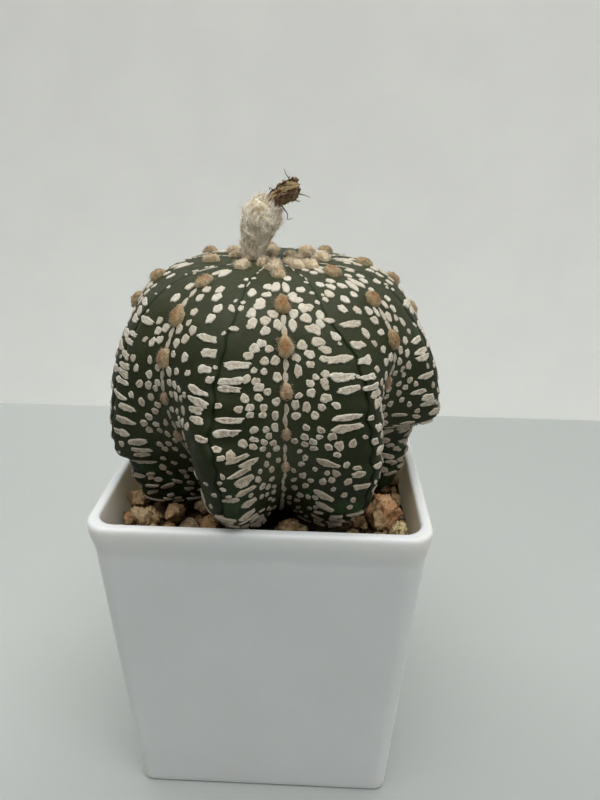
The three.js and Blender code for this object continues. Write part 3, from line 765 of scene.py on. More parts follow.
def choose_crust(cover, source):
    """Crowded scales on the old foot of each bulge, under its chin."""
    for rib, (count, start, reach, tilt) in enumerate(CRUSTS):
        for _ in range(count):
            turn = 2 * rib + 1 + source.uniform(-reach, reach)
            along = source.uniform(start, 0.84)
            if rib == 1:
                turn, along = turn - 0.1, source.uniform(start, 0.74)
            length = source.uniform(1.3, 4.0)
            cover.offer(turn, along, length, source.uniform(0.65, 1.15), source.normal(0, tilt),
                        2.4, source.uniform(0.35, 0.7), 0.05 + 0.5 * source.random(), gap=0.02)


def choose_dots(cover, source):
    """Round flecks that fill what is left, crowded by the areole lines and sparse between."""
    turns = source.uniform(0, 2 * RIBS, DOT_TRIES)
    alongs = source.uniform(0.1, 0.8, DOT_TRIES)
    _, _, across = panel(turns)
    for turn, along, share in zip(turns, alongs, across):
        near_suture = share > 0.88
        in_scar = abs(turn - 14.72) < 0.55 and 0.5 < along < 0.655
        on_crust = abs(turn - 3) < 0.5 and along > 0.53
        if near_suture or in_scar or on_crust or share < 0.04:
            continue
        dense = ease(0.75, 0.25, share) * ease(0.2, 0.33, along) + ease(0.33, 0.42, along)
        gap = blend(1.8, 0.32, min(1, dense)) + 0.5 * ease(0.62, 0.85, share)
        size = source.uniform(1.1, 1.7) + 0.3 * ease(0.36, 0.24, along)
        stretch = source.uniform(0.95, 1.3) + 0.5 * ease(0.3, 0.1, share) * ease(0.3, 0.45, along)
        if along < 0.3:
            stretch = source.uniform(1.2, 2.0)
        cover.offer(turn, along, size / math.sqrt(stretch), size * math.sqrt(stretch),
                    source.normal(0, 16), 2.3, 0.3, source.random(), gap=gap)


def lay_flecks(shape, source, rows, corners):
    """Lays a list of flecks on the skin, each a low pad with an uneven felted edge."""
    turn, along, length, width, turned, square, rise, tint = np.array(rows).T
    count = len(turn)
    around = bearings(corners)[None, :]
    wave = [source.uniform(0, FULL_TURN, (count, 1)) for _ in range(4)]
    uneven = (1 + 0.05 * np.sin(2 * around + wave[0]) + 0.06 * np.sin(3 * around + wave[1])
              + 0.05 * np.sin(5 * around + wave[2]) + source.normal(0, 0.03, (count, corners)))
    power = square[:, None]
    edge = (abs(np.cos(around)) ** power + abs(np.sin(around)) ** power) ** (-1 / power)
    x = edge * uneven * np.cos(around)
    y = edge * uneven * np.sin(around)
    # A bar often ends in a blunt point on one side
    slim = length > 2.2 * width
    drawn_out = np.where(slim, source.uniform(-0.35, 0.35, count), 0)[:, None]
    y = y * (1 - drawn_out * x) * (1 + 0.12 * np.sin(4 * x + wave[3]))
    # The felt of a bar frays out on its lower edge
    fringe = abs(source.normal(0, 0.16, (count, corners))) * (y > 0.3)
    y = y + fringe * slim[:, None]

    reach = RING_REACH[None, :, None]
    right = length[:, None, None] / 2 * x[:, None, :] * reach
    down = width[:, None, None] / 2 * y[:, None, :] * reach
    height = 0.75 * rise[:, None, None] * RING_RISE[None, :, None]
    rough = source.normal(0, 0.14, (count, len(RING_REACH), corners))
    height = height * (1 + rough * (RING_RISE > 0.5)[None, :, None])
    middle = np.zeros(count), np.zeros(count), rise * source.uniform(0.5, 0.75, count)
    right, down, height = (np.column_stack([ring.reshape(count, -1), centre])
                           for ring, centre in zip((right, down, height), middle))
    lean = np.radians(turned)[:, None]
    points = laid_on_skin(
        turn, along, right * np.cos(lean) - down * np.sin(lean),
        right * np.sin(lean) + down * np.cos(lean), height)
    foot = np.append(np.repeat(RING_FOOT, corners), 0)
    worn = np.append(np.repeat(RING_MIDDLE, corners), 1)
    shape.add(points, pad_faces(len(RING_REACH), corners), tint=tint[:, None], rim=foot[None],
              worn=worn[None])


def make_flecks(material):
    """The flecks, one piece to each stretch from the middle of one areole line to the next."""
    cover, source = Cover(), draws(5)
    for choose in (choose_areole_lines, choose_bars, choose_flecks_about, choose_lips,
                   choose_crust, choose_dots):
        choose(cover, source)
    cover.settle()
    for rib in range(RIBS):
        mine = [row for row in cover.rows if panel(np.array(row[0] + 0.5))[0] == rib]
        shape = Shape("tint", "rim", "worn")
        for are_bars, corners in ((True, BAR_CORNERS), (False, DOT_CORNERS)):
            lay_flecks(shape, source, [row for row in mine if (row[2] > BAR_LENGTH) == are_bars],
                       corners)
        shape.piece(f"flecks_{rib}", material, "cactus_skin")


# Wool: fine hairs that stand on a pad or a tube


def add_hairs(shape, source, roots, directions, lengths, thickness, bend, **values):
    """Tapered three-sided hairs with one joint, each bent its own way."""
    count = len(roots)
    directions = unit(directions)
    across = unit(np.cross(directions, source.normal(size=(count, 3))))
    beside = np.cross(directions, across)
    away = across * source.normal(0, bend, (count, 1)) + beside * source.normal(0, bend, (count, 1))
    lengths = lengths[:, None]
    half = roots + directions * lengths * 0.5 + away * lengths * 0.25
    tip = roots + directions * lengths + away * lengths
    corners = []
    for centre, share in ((roots, 1.0), (half, 0.75)):
        for corner in range(3):
            angle = FULL_TURN * corner / 3
            side = across * math.cos(angle) + beside * math.sin(angle)
            corners.append(centre + side * thickness * share)
    points = np.stack([*corners, tip], axis=1)
    faces = ring_faces(2, 3) + [(3, 4, 6), (4, 5, 6), (5, 3, 6)]
    shape.add(points, faces, **values)


# A tuft: its rings from the edge inward, and its hairs
TUFT_CORNERS = 16
TUFT_REACH = np.array([1.0, 0.98, 0.86, 0.66, 0.42, 0.2])
TUFT_RISE = np.array([-0.3, 0.25, 0.62, 0.85, 0.97, 1.0])
TUFT_HAIRS, TUFT_HAIR_THICKNESS = 240, 0.035


def make_tuft(shape, source, turn, along, wide, tall, rise, hair, ragged, **values):
    """A teardrop of short wool with its point up the plant."""
    hairs = int(TUFT_HAIRS * (1 + 6 * (ragged - 0.1)))
    around = bearings(TUFT_CORNERS)
    place = np.array([turn]), np.array([along])
    point_up = 0.3 * (1 - np.sin(around)) / 2
    x = wide * np.cos(around) * (1 - 1.2 * point_up) * source.normal(1, ragged, TUFT_CORNERS)
    y = tall * np.sin(around) * (1 + 0.4 * point_up) * source.normal(1, ragged, TUFT_CORNERS)
    right = np.append((TUFT_REACH[:, None] * x).reshape(-1), 0)
    down = np.append((TUFT_REACH[:, None] * y).reshape(-1), 0)
    lump = source.normal(1, ragged, right.shape)
    out = rise * np.append(np.repeat(TUFT_RISE, TUFT_CORNERS), 1.0) * lump
    points = laid_on_skin(*place, right[None], down[None], out[None])[0]
    heart = np.append(np.repeat(1 - TUFT_REACH, TUFT_CORNERS), 1.0)
    tint = source.random()
    shape.add(points, pad_faces(len(TUFT_REACH), TUFT_CORNERS), heart=heart, tint=tint, **values)

    bearing = source.uniform(0, FULL_TURN, hairs)
    reach = np.sqrt(source.uniform(0.05, 1, hairs))
    right = wide * 0.95 * reach * np.cos(bearing)
    down = tall * 0.95 * reach * np.sin(bearing)
    low = rise * np.sqrt(np.clip(1 - reach ** 2, 0, 1)) * 0.85
    roots = laid_on_skin(*place, right[None], down[None], low[None])[0]
    heads = laid_on_skin(*place, 1.5 * right[None], 1.5 * down[None], low[None] + 0.75)[0]
    lean = unit(heads - roots) + source.normal(0, 0.5, (hairs, 3))
    add_hairs(shape, source, roots, lean, source.uniform(0.4, 1.3, hairs) * hair,
              TUFT_HAIR_THICKNESS, 0.5, heart=(0.8 * (1 - reach))[:, None], tint=tint, **values)


def make_areoles(material):
    """The wool at each areole: wide and pale near the growing point, brown and neat on the
    shoulder, and worn small toward the foot."""
    source = draws(21)
    shape = Shape("heart", "tint", "young", "old")
    for rib in range(RIBS):
        for along in AREOLES[rib]:
            young, old = ease(0.18, 0.08, along), ease(0.36, 0.46, along)
            newest = along < 0.06
            size = source.uniform(1.6, 1.85) * (1 - 0.3 * old) * (0.62 if newest else 1)
            make_tuft(shape, source, 2.0 * rib, along, size * (0.98 + 0.2 * young - 0.12 * old),
                      size * source.uniform(1.0, 1.2), size * (0.8 - 0.05 * young - 0.1 * old),
                      0.55 + 0.2 * young - 0.15 * old, 0.1 + 0.08 * young, young=young, old=old)
    for turn, along, half in CROWN_WOOL:
        wide, tall, rise = (half * source.uniform(*share)
                            for share in ((0.8, 1.5), (0.8, 1.5), (0.9, 1.3)))
        make_tuft(shape, source, turn, along, wide, tall, rise, 0.7, 0.17,
                  young=source.uniform(0.7, 1), old=source.uniform(0, 0.5))
    shape.piece("areole_wool", material, "cactus_skin")


# The spent flower

FLOWER_X, FLOWER_Y = -3.9, 0.8
FLOWER_AXIS = np.array([
    [FLOWER_X, FLOWER_Y, CROWN_HEIGHT - 1], [FLOWER_X + 0.6, FLOWER_Y, CROWN_HEIGHT + 7.54],
    [FLOWER_X + 3.9, FLOWER_Y, CROWN_HEIGHT + 11.6],
])
# The radius of the flower's woolly tube at shares of its length
TUBE_GIRTH = np.array([
    [0, 2.5], [0.16, 2.65], [0.34, 3.25], [0.52, 3.9], [0.68, 4.05], [0.84, 3.7], [0.95, 3.0],
    [1, 1.9],
])
PETAL_DIRECTION = np.array([0.86, -0.12, 0.48])
PETAL_LENGTH = 6.6


def on_axis(share):
    """Centre, direction, right and back of the flower's axis at a share of its length."""
    share = np.asarray(share, float)[..., None]
    foot, middle, top = FLOWER_AXIS
    centre = foot * (1 - share) ** 2 + 2 * middle * share * (1 - share) + top * share ** 2
    up = unit((middle - foot) * (1 - share) + (top - middle) * share)
    right = unit(np.cross(np.array([0, 1, 0]), up))
    return centre, up, right, np.cross(up, right)


def make_flower_tube(material):
    """The fruit in its coat of wool: a lumpy core, drooping locks and fine hairs."""
    source = draws(31)
    shape = Shape("depth", "tint")
    rows, columns = 46, 40
    share = np.linspace(0, 1, rows)
    girth = np.interp(share, *TUBE_GIRTH.T) * 0.93
    centre, _, right, back = on_axis(share)
    rays = round_axis(-back[:, None], right[:, None], bearings(columns))
    points = centre[:, None] + rays * girth[:, None, None]
    lumps = 0.28 * ripples(points, 2.6, 8) + 0.12 * ripples(points, 1.1, 9)
    points = points + rays * (lumps * ease(0, 0.12, share)[:, None])[..., None]
    # depth: how far a point lies in a hollow of the core, for painted shade there; the hairs get a
    # random depth.
    core = np.append(np.clip(0.5 - lumps, 0, 1), [1, 1])
    shape.add(*closed_body(points, centre[[0, -1]]), depth=core, tint=0.5)

    def coat(count, low, high, length, thickness, lift, bend, lean_out):
        """Hairs that start between two shares of the tube's length."""
        place = source.uniform(low, high, count)
        bearing = source.uniform(0, FULL_TURN, count)
        middle, along, side, rear = on_axis(place)
        ray = round_axis(-rear, side, bearing)
        around_it = np.cross(along, ray)
        root = middle + ray * (np.interp(place, *TUBE_GIRTH.T)[:, None] * 0.9 + lift)
        rise = along + ray * (lean_out - 0.5 * ease(0.55, 0.95, place))[:, None]
        rise = rise + around_it * source.normal(0, 0.25, (count, 1))
        lengths = source.uniform(*length, count) * (1 - 0.55 * ease(0.5, 0.9, place))
        add_hairs(shape, source, root, rise, lengths, thickness, bend,
                  depth=source.uniform(0, 0.7, count)[:, None],
                  tint=source.random(count)[:, None])

    coat(420, 0.02, 0.86, (2.0, 3.6), 0.2, 0.12, 0.16, 0.06)
    coat(3400, 0.0, 0.97, (1.2, 2.6), 0.06, 0.15, 0.28, 0.16)
    coat(300, 0.45, 1.0, (2.2, 3.6), 0.04, 0.1, 0.35, 0.6)
    coat(160, 0.86, 1.0, (2.6, 4.2), 0.1, 0.1, 0.35, 0.35)
    shape.piece("flower_wool", material, "flower_wool", ["flower_tube"])


RIBBON_CORNERS, RIBBON_THICKNESS = 6, 0.16


def ribbon(path, width, normal):
    """Points and faces of a flat closed strip along a path."""
    forward = unit(np.gradient(path, axis=0))
    side = unit(np.cross(forward, normal))
    lift = np.cross(side, forward)
    turn = bearings(RIBBON_CORNERS)
    ring = (side[:, None] * (np.cos(turn) * 0.5)[None, :, None] * width[:, None, None]
            + lift[:, None] * (np.sin(turn) * 0.5)[None, :, None] * RIBBON_THICKNESS)
    return closed_body(path[:, None] + ring, path[[0, -1]])


# Stiff filaments that hook out of the brush: points [right, up] from its foot
HOOKS = [
    [[3.9, 3.6], [4.0, 4.7], [3.2, 5.6], [2.9, 6.6]],
    [[1.1, 1.2], [0.8, 1.9], [0.2, 2.7], [-0.3, 2.9], [-0.2, 2.4]],
    [[5.6, 1.9], [6.4, 1.7], [7.2, 1.6], [8.3, 1.2]],
    [[2.4, -0.6], [2.9, -1.4], [3.7, -2.3], [3.4, -3.5], [4.6, -3.1]],
    [[1.4, -0.4], [1.5, -1.2], [1.9, -1.7]],
    [[4.9, 1.0], [5.7, 0.3], [6.2, 0.5]],
]
# The three layers of petals: how many, how far out they start and end, and their width
PETAL_LAYERS = [(9, 0.5, 1.1, 1.3), (14, 1.1, 1.75, 1.6), (15, 1.5, 2.15, 1.5)]
PETAL_STEPS, HOOK_STEPS, LOOSE_HAIRS = 15, 14, 90


def make_dried_petals(material):
    """A shrivelled brush of crumpled petals that spreads toward its ragged end."""
    source = draws(41)
    shape = Shape("tint")
    foot = on_axis(1.0)[0] + 0.1 * PETAL_DIRECTION
    axis = PETAL_DIRECTION / np.linalg.norm(PETAL_DIRECTION)
    across = unit(np.cross(axis, np.array([0, 1, 0])))
    beside = np.cross(axis, across)
    steps = np.linspace(0, 1, PETAL_STEPS)
    for layer, (blades, start, spread, size) in enumerate(PETAL_LAYERS):
        for blade in range(blades):
            bearing = FULL_TURN * (blade + 0.5 * layer) / blades + source.normal(0, 0.15)
            length = PETAL_LENGTH * source.uniform(0.72, 1.08)
            twist = bearing + source.normal(0, 0.5) * steps
            ray = round_axis(across, beside, twist)
            flare = blend(start, spread * source.uniform(0.75, 1.1), steps ** 0.8)
            flare = flare - source.uniform(0.1, 1.2) * ease(0.7, 1, steps)
            path = foot + axis * (length * steps)[:, None] + ray * flare[:, None]
            path = path + source.normal(0, 0.13, path.shape) * ease(0, 0.3, steps)[:, None]
            width = size * (0.45 + 0.75 * steps) * source.uniform(0.75, 1.15, PETAL_STEPS)
            width = width * (1 - 0.85 * ease(0.86, 1, steps))
            normal = ray + source.normal(0, 0.5, 3) * steps[:, None]
            normal = normal + np.cross(axis, ray) * source.normal(0, 0.6) * steps[:, None]
            shape.add(*ribbon(path, width, unit(normal)), tint=source.random())
    for hook in HOOKS:
        knots = np.array(hook, float)
        fine = np.linspace(0, len(knots) - 1, HOOK_STEPS)
        flat = np.column_stack([np.interp(fine, range(len(knots)), column) for column in knots.T])
        flat[1:-1] = (flat[:-2] + 2 * flat[1:-1] + flat[2:]) / 4
        depth = np.linspace(source.uniform(-0.6, 0.2), source.uniform(-1.4, 0.6), HOOK_STEPS)
        path = foot + np.column_stack([flat[:, 0], depth, flat[:, 1]])
        width = np.linspace(0.3, 0.1, HOOK_STEPS)
        shape.add(*ribbon(path, width, np.array([0.0, -1.0, 0.0])), tint=0.2)
    place = source.uniform(0.0, 0.9, LOOSE_HAIRS)
    ray = round_axis(across, beside, source.uniform(0, FULL_TURN, LOOSE_HAIRS))
    root = foot + axis * (PETAL_LENGTH * place)[:, None] + ray * (0.7 + 1.6 * place)[:, None]
    lean = axis + 0.8 * ray + source.normal(0, 0.4, ray.shape)
    add_hairs(shape, source, root, lean, source.uniform(0.8, 2.0, LOOSE_HAIRS), 0.04, 0.4,
              tint=0.3)
    shape.piece("dried_flower", material, "dried_petal", ["dried_petals"])


# The pot

POT_WIDTH, POT_HEIGHT, POT_BASE_WIDTH = 70, 80, 61.8
POT_WALL, POT_FLOOR, POT_CORNER = 1.6, 2, 5
LIP_HEIGHT, LIP_WIDTH, LIP_OVERHANG = 2.2, 2.3, 0.6
DRAIN_HOLE, DRAIN_PLACE = 6.5, 15
LIP_UNDER = POT_HEIGHT - LIP_HEIGHT
# The room that the soil leaves to the pot's walls
GAP = 0.3


def outer_half(z):
    """Half the pot's width at a height under the lip."""
    return blend(POT_BASE_WIDTH, POT_WIDTH - 2 * LIP_OVERHANG, z / LIP_UNDER) / 2


def inner_half(z):
    return outer_half(z) - POT_WALL


def rounded_square(half, z, corner, corner_steps=12, support=1.2):
    """A level ring of points round a square with rounded corners, each with a point beside it
    on the flats."""
    corner = max(corner, 0.01)
    points = []
    for quarter in range(4):
        middle = (quarter + 0.5) * math.pi / 2
        reach = (half - corner) * math.sqrt(2)
        hub = np.array([reach * math.sin(middle), -reach * math.cos(middle)])
        turns = (quarter + np.linspace(0, 1, corner_steps + 1)) * math.pi / 2
        arc = hub + corner * np.column_stack([np.sin(turns), -np.cos(turns)])
        before = arc[0] - support * np.array([math.cos(turns[0]), math.sin(turns[0])])
        after = arc[-1] + support * np.array([math.cos(turns[-1]), math.sin(turns[-1])])
        points += [before, *arc, after]
    return np.column_stack([points, np.full(len(points), z)])


def fillet(corner, start, end, steps=5):
    """A quarter curve from start to end that leaves them toward their shared corner."""
    share = np.linspace(0, 1, steps)[:, None]
    start, corner, end = (np.array(point, float) for point in (start, corner, end))
    return start * (1 - share) ** 2 + 2 * corner * share * (1 - share) + end * share ** 2


def make_pot(material):
    """The pot: one closed outline from the underside over the lip to the floor, then bored."""
    edge, lip = 1.2, POT_WIDTH / 2
    mouth = lip - LIP_WIDTH
    base, top = POT_BASE_WIDTH / 2, POT_HEIGHT
    flare, brim = LIP_UNDER - 5.5, top - 1.3
    outline = np.concatenate([
        [[base - 5, 0], [base - edge - 0.5, 0]],
        fillet([base, 0], [base - edge, 0], [outer_half(edge), edge]),
        [[outer_half(2.4), 2.4], [outer_half(LIP_UNDER - 6), LIP_UNDER - 6]],
        [[blend(outer_half(z), lip, ease(flare, brim, z)), z]
         for z in np.linspace(flare, brim, 11)],
        fillet([lip, top], [lip, top - 1.0], [lip - 0.9, top], 6),
        fillet([mouth, top], [mouth + 0.65, top], [mouth, top - 0.8]),
        [[mouth - 0.05, LIP_UNDER - 0.6], [inner_half(LIP_UNDER - 2), LIP_UNDER - 2]],
        [[inner_half(POT_FLOOR + 1), POT_FLOOR + 1], [inner_half(POT_FLOOR) - 1, POT_FLOOR]],
        [[8, POT_FLOOR]],
    ])
    rings = []
    for half, z in outline:
        corner = POT_CORNER - (lip - half) * 0.45
        rings.append(rounded_square(half, z, min(corner, half * 0.9)))
    shape = Shape()
    shape.add(*closed_body(rings, [[0, 0, 0], [0, 0, POT_FLOOR]]))
    pot = shape.piece("square_pot", material, "pot_plastic", ["pot"])
    drills = []
    for x in (-DRAIN_PLACE, DRAIN_PLACE):
        for y in (-DRAIN_PLACE, DRAIN_PLACE):
            drill = turned_rod(DRAIN_HOLE / 2, 3 * POT_FLOOR, (x, y, POT_FLOOR / 2))
            cut = pot.modifiers.new("drain_hole", "BOOLEAN")
            cut.object, cut.operation, cut.solver = drill, "DIFFERENCE", "EXACT"
            drills.append(drill)
    bored = bpy.data.meshes.new_from_object(
        pot.evaluated_get(bpy.context.evaluated_depsgraph_get()))
    pot.modifiers.clear()
    pot.data = bored
    for drill in drills:
        bpy.data.objects.remove(drill)


def turned_rod(radius, length, middle, columns=32):
    """A plain round rod along Z that only cuts, and is removed afterwards."""
    turn = bearings(columns)
    ring = radius * np.column_stack([np.cos(turn), np.sin(turn)])
    ends = [np.column_stack([ring, np.full(columns, z)]) + middle
            for z in (-length / 2, length / 2)]
    faces = [*ring_faces(2, columns), tuple(range(columns))[::-1],
             tuple(range(columns, 2 * columns))]
    return in_scene("rod", new_mesh("rod", ends, faces))


# Soil, grit and stones


def ball(subdivisions):
    """Points of a round ball of triangles, one unit in radius, and its faces."""
    ratio = (1 + math.sqrt(5)) / 2
    corners = [(wide, tall, 0) for tall in (ratio, -ratio) for wide in (-1, 1)]
    points = [Vector(corner[-turn:] + corner[:-turn]).normalized()
              for turn in range(3) for corner in corners]
    faces = [(0, 11, 5), (0, 5, 1), (0, 1, 7), (0, 7, 10), (0, 10, 11), (1, 5, 9), (5, 11, 4),
             (11, 10, 2), (10, 7, 6), (7, 1, 8), (3, 9, 4), (3, 4, 2), (3, 2, 6), (3, 6, 8),
             (3, 8, 9), (4, 9, 5), (2, 4, 11), (6, 2, 10), (8, 6, 7), (9, 8, 1)]
    for _ in range(subdivisions):
        halves, finer = {}, []

        def half(a, b):
            key = (min(a, b), max(a, b))
            if key not in halves:
                halves[key] = len(points)
                points.append(((points[a] + points[b]) / 2).normalized())
            return halves[key]

        for a, b, c in faces:
            ab, bc, ca = half(a, b), half(b, c), half(c, a)
            finer += [(a, ab, ca), (b, bc, ab), (c, ca, bc), (ab, bc, ca)]
        faces = finer
    return np.array([tuple(point) for point in points]), faces


def pebble(points, seed, chips, rough, flat):
    """A broken, worn stone: a ball with flat chips struck off and an uneven surface. flat is
    how far out the deepest chip can start."""
    source = draws(seed)
    stone = points * (1 + 0.12 * ripples(points, 1.9, seed)[:, None])
    for _ in range(chips):
        way = unit(source.normal(size=3))
        over = stone @ way - source.uniform(flat, flat + 0.33)
        stone = stone - np.clip(over, 0, None)[:, None] * way * 0.95
    uneven = rough * ripples(points, 0.45, seed + 1) + 0.6 * rough * ripples(points, 0.2, seed + 2)
    return stone * (1 + uneven[:, None])


# Loose pumice on the soil: place, then length, width and height, and its kind
STONES = {
    "stone_front_middle": (5.6, -22.8, 7.0, 6.0, 6.6, "pumice_tan"),
    "stone_front_left": (-25.8, -18.6, 6.4, 5.4, 4.4, "pumice_tan"),
    "stone_front_left_small": (-16.6, -21.4, 5.2, 4.4, 3.6, "pumice_brown"),
    "stone_left": (-29.4, -9.6, 4.2, 5.0, 3.8, "pumice_tan"),
    "stone_front_right": (26.7, -16.2, 9.0, 7.4, 9.0, "pumice_orange"),
    "stone_front_right_pale": (29.5, -22.9, 4.6, 4.6, 6.0, "pumice_pale"),
    "stone_right": (30.3, -8.0, 3.6, 4.6, 3.4, "pumice_tan"),
    "stone_back_right": (24.4, 25.4, 6.4, 5.6, 5.0, "pumice_tan"),
    "stone_back_right_small": (29.0, 17.6, 4.4, 5.0, 3.6, "pumice_brown"),
    "stone_back_left": (-25.4, 25.2, 6.8, 6.0, 5.2, "pumice_orange"),
    "stone_back_left_small": (-17.6, 29.2, 5.0, 4.0, 3.4, "pumice_tan"),
}


# The height of a stone's middle over the soil, as a share of its own height
STONE_MIDDLE = 0.42


def make_stones(finishes):
    points, faces = ball(4)
    for seed, (name, stone) in enumerate(STONES.items(), start=60):
        x, y, length, width, height, slot = stone
        rounded = pebble(points, seed, chips=14, rough=0.12, flat=0.62)
        rounded = rounded / np.abs(rounded).max(axis=0)
        size = np.array([length, width, height]) / 2
        shape = Shape()
        shape.add(rounded * size + [x, y, SOIL_TOP + STONE_MIDDLE * height], faces)
        shape.piece(f"loose_{name}", finishes[slot], slot, [name])


def body_reach(points):
    """How far the plant reaches at each whole degree, at the height of the grit."""
    low = points[(points[:, 2] < SOIL_TOP + 7) & (points[:, 2] > SOIL_TOP - 1)]
    x, y = low[:, 0] - CENTRE_X, low[:, 1] - CENTRE_Y
    degree = (np.degrees(np.arctan2(y, x)).astype(int)) % 360
    reach = np.zeros(360)
    np.maximum.at(reach, degree, np.hypot(x, y))
    return np.maximum(reach, np.maximum(np.roll(reach, 1), np.roll(reach, -1)))


GRIT_TRIES, GRIT_SIZE, GRIT_FORMS = 9000, (1.1, 3.0), 16
# Pebbles over this size have finer meshes
LARGE_PEBBLE = 2.2


def make_grit(material, reach):
    """Pebbles laid biggest first, low ones on the soil and others resting in between."""
    source = draws(51)
    shapes = [Shape("tint", "hue") for _ in range(2)]
    meshes = []
    for points, faces in (ball(2), ball(3)):
        meshes.append(([pebble(points, 200 + index, chips=12, rough=0.13, flat=0.45)
                        for index in range(GRIT_FORMS)], faces))
    placed = [[x, y, SOIL_TOP + STONE_MIDDLE * height, max(length, width, height) / 2]
              for x, y, length, width, height, _ in STONES.values()]
    sizes = np.sort(source.uniform(0, 1, GRIT_TRIES) ** 1.2)[::-1]
    count = 0
    for size in blend(*GRIT_SIZE, sizes):
        limit = inner_half(SOIL_TOP + 2) - size * 0.9
        x, y = source.uniform(-limit, limit, 2)
        bearing = int(math.degrees(math.atan2(y - CENTRE_Y, x - CENTRE_X))) % 360
        if math.hypot(x - CENTRE_X, y - CENTRE_Y) < reach[bearing] + 0.55 * size:
            continue
        z = SOIL_TOP + size * source.uniform(0.1, 0.5) + source.choice([0, 0, 1.8, 3.4])
        spots = np.array(placed)
        apart = np.linalg.norm(spots[:, :3] - [x, y, z], axis=1)
        if (apart < 0.8 * (spots[:, 3] + size)).any():
            continue
        placed.append([x, y, z, size])
        turn = Matrix.Rotation(source.uniform(0, FULL_TURN), 3, unit(source.normal(size=3)))
        squash = size * np.array([1, source.uniform(0.75, 1), source.uniform(0.7, 0.95)])
        forms, faces = meshes[1 if size > LARGE_PEBBLE else 0]
        stone = (forms[count % GRIT_FORMS] * squash) @ np.array(turn).T + [x, y, z]
        shapes[count % 2].add(stone, faces, tint=source.random(), hue=source.random())
        count += 1
    for index, shape in enumerate(shapes):
        shape.piece(f"grit_pebbles_{index}", material, "grit")


def make_soil(material):
    """The fill of the pot: a closed block with a rough, crumbly top."""
    room = inner_half(SOIL_TOP) - GAP
    levels = [[room - 2, POT_FLOOR], [inner_half(POT_FLOOR) - GAP - 0.2, POT_FLOOR],
              [room, SOIL_TOP - 0.6]]
    tops = [[room * share, SOIL_TOP] for share in np.linspace(0.995, 0.02, 52)]
    rings = []
    for half, z in levels + tops:
        corner = min(POT_CORNER - POT_WALL - (room - half) * 0.3, half * 0.9)
        rings.append(rounded_square(half, z, max(corner, half * 0.2), 8, min(1.2, half * 0.1)))
    flat = np.concatenate(rings)
    top = flat[:, 2] > SOIL_TOP - 0.5
    flat[:, 2] += top * (0.5 * ripples(flat, 3.1, 12) + 0.35 * ripples(flat, 1.2, 13))
    shape = Shape()
    shape.add(*closed_body(flat.reshape(len(rings), -1, 3), [[0, 0, POT_FLOOR], [0, 0, SOIL_TOP]]))
    shape.piece("potting_soil", material, "grit", ["soil"])


# What each surface is made of, with heights in metres


def skin_finish():
    finish = Finish("cactus_skin", Roughness=0.55, Specular_IOR_Level=0.22)
    height, valley = finish.along_axis("Z"), finish.value("valley")
    finish.tone = finish.ramp(finish.noise(7, 4), (0.3, (34, 39, 15)), (0.7, (49, 55, 27)))
    finish.stain(finish.blots((0.35, 2), 0.5, 0.75, 0, 0.3), 80, 90, 62)
    # The crown is paler and greyer: partly a waxy dust, partly a painted sheen from the light
    # overhead.
    crown_dust_and_sheen = finish.spread(height, 0.103, 0.123, 0, 0.5)
    finish.stain(finish.times(crown_dust_and_sheen, finish.blots((11, 3), 0.3, 0.6, 0.5, 1)),
                 68, 70, 52)
    # The suture's crease is darker green: partly its own colour, partly painted shade.
    finish.stain(finish.times(finish.value("crease"), 0.9), 24, 42, 14)
    finish.stain(finish.times(valley, 0.6), 76, 80, 60)
    # Painted shade: below the crown, the flanks beside the sutures are darker.
    flank_share = finish.spread(height, 0.120, 0.106)
    finish.stain(finish.times(finish.spread(valley, 0.3, 0.02, 0, 0.6), flank_share), 26, 32, 11)
    # Painted shade: the skin darkens toward the soil.
    finish.stain(finish.spread(height, 0.096, 0.078, 0, 0.85), 16, 24, 4)
    bare = finish.blots((5, 2), 0.5, 0.62, 0, 0.6)
    finish.stain(finish.times(bare, finish.spread(height, 0.097, 0.086)), 40, 66, 26)
    finish.rough(finish.blots((1.4, 3), 0.3, 0.7, 0.52, 0.7))
    finish.bump((finish.noise(2.2, 4), 0.25, 0.5), (finish.noise(0.3, 2), 0.06, 0.5))
    return finish.done()


def fleck_finish():
    """Felt with a pale clean edge and a mottled, worn middle; greyer toward the foot, partly painted
    shade.
    """
    finish = Finish("felt_flecks", Roughness=0.95, Specular_IOR_Level=0.15, Sheen_Weight=0.25)
    height = finish.along_axis("Z")
    finish.tone = finish.ramp(finish.value("tint"), (0.0, (200, 188, 168)),
                              (0.5, (218, 209, 190)), (1.0, (234, 229, 214)))
    worn = finish.times(finish.blots((0.65, 5, 0.7), 0.42, 0.56, 0.25, 1),
                        finish.value("worn"))
    finish.stain(finish.times(worn, finish.spread(height, 0.122, 0.100, 0.35, 0.95)),
                 160, 138, 114)
    # Flecks greyer toward the foot: partly their own colour, partly painted shade.
    finish.stain(finish.spread(height, 0.102, 0.080, 0, 0.6), 168, 152, 134)
    finish.stain(finish.times(finish.value("rim"), 0.6), 104, 100, 82)
    finish.bump((finish.noise(0.5, 4, 0.65), 0.3, 0.8), (finish.noise(0.14, 2), 0.08, 0.6))
    return finish.done()


def areole_finish():
    finish = Finish("areole_wool", Roughness=1.0, Specular_IOR_Level=0.1, Sheen_Weight=0.4)
    young = finish.value("young")
    finish.tone = finish.ramp(finish.value("tint"), (0, (186, 162, 120)), (1, (208, 188, 150)))
    finish.stain(finish.blots((0.6, 5, 0.7), 0.42, 0.62, 0, 0.7), 140, 110, 74)
    heart = finish.spread(finish.value("heart"), 0.15, 0.65, 0, 0.8)
    finish.stain(finish.times(heart, finish.spread(young, 0, 1, 1, 0.25)), 158, 108, 52)
    finish.stain(finish.times(young, 0.8), 250, 230, 196)
    finish.stain(finish.times(finish.value("old"), 0.6), 204, 178, 150)
    finish.bump((finish.noise(0.45, 4, 0.7), 0.4, 1.0))
    return finish.done()


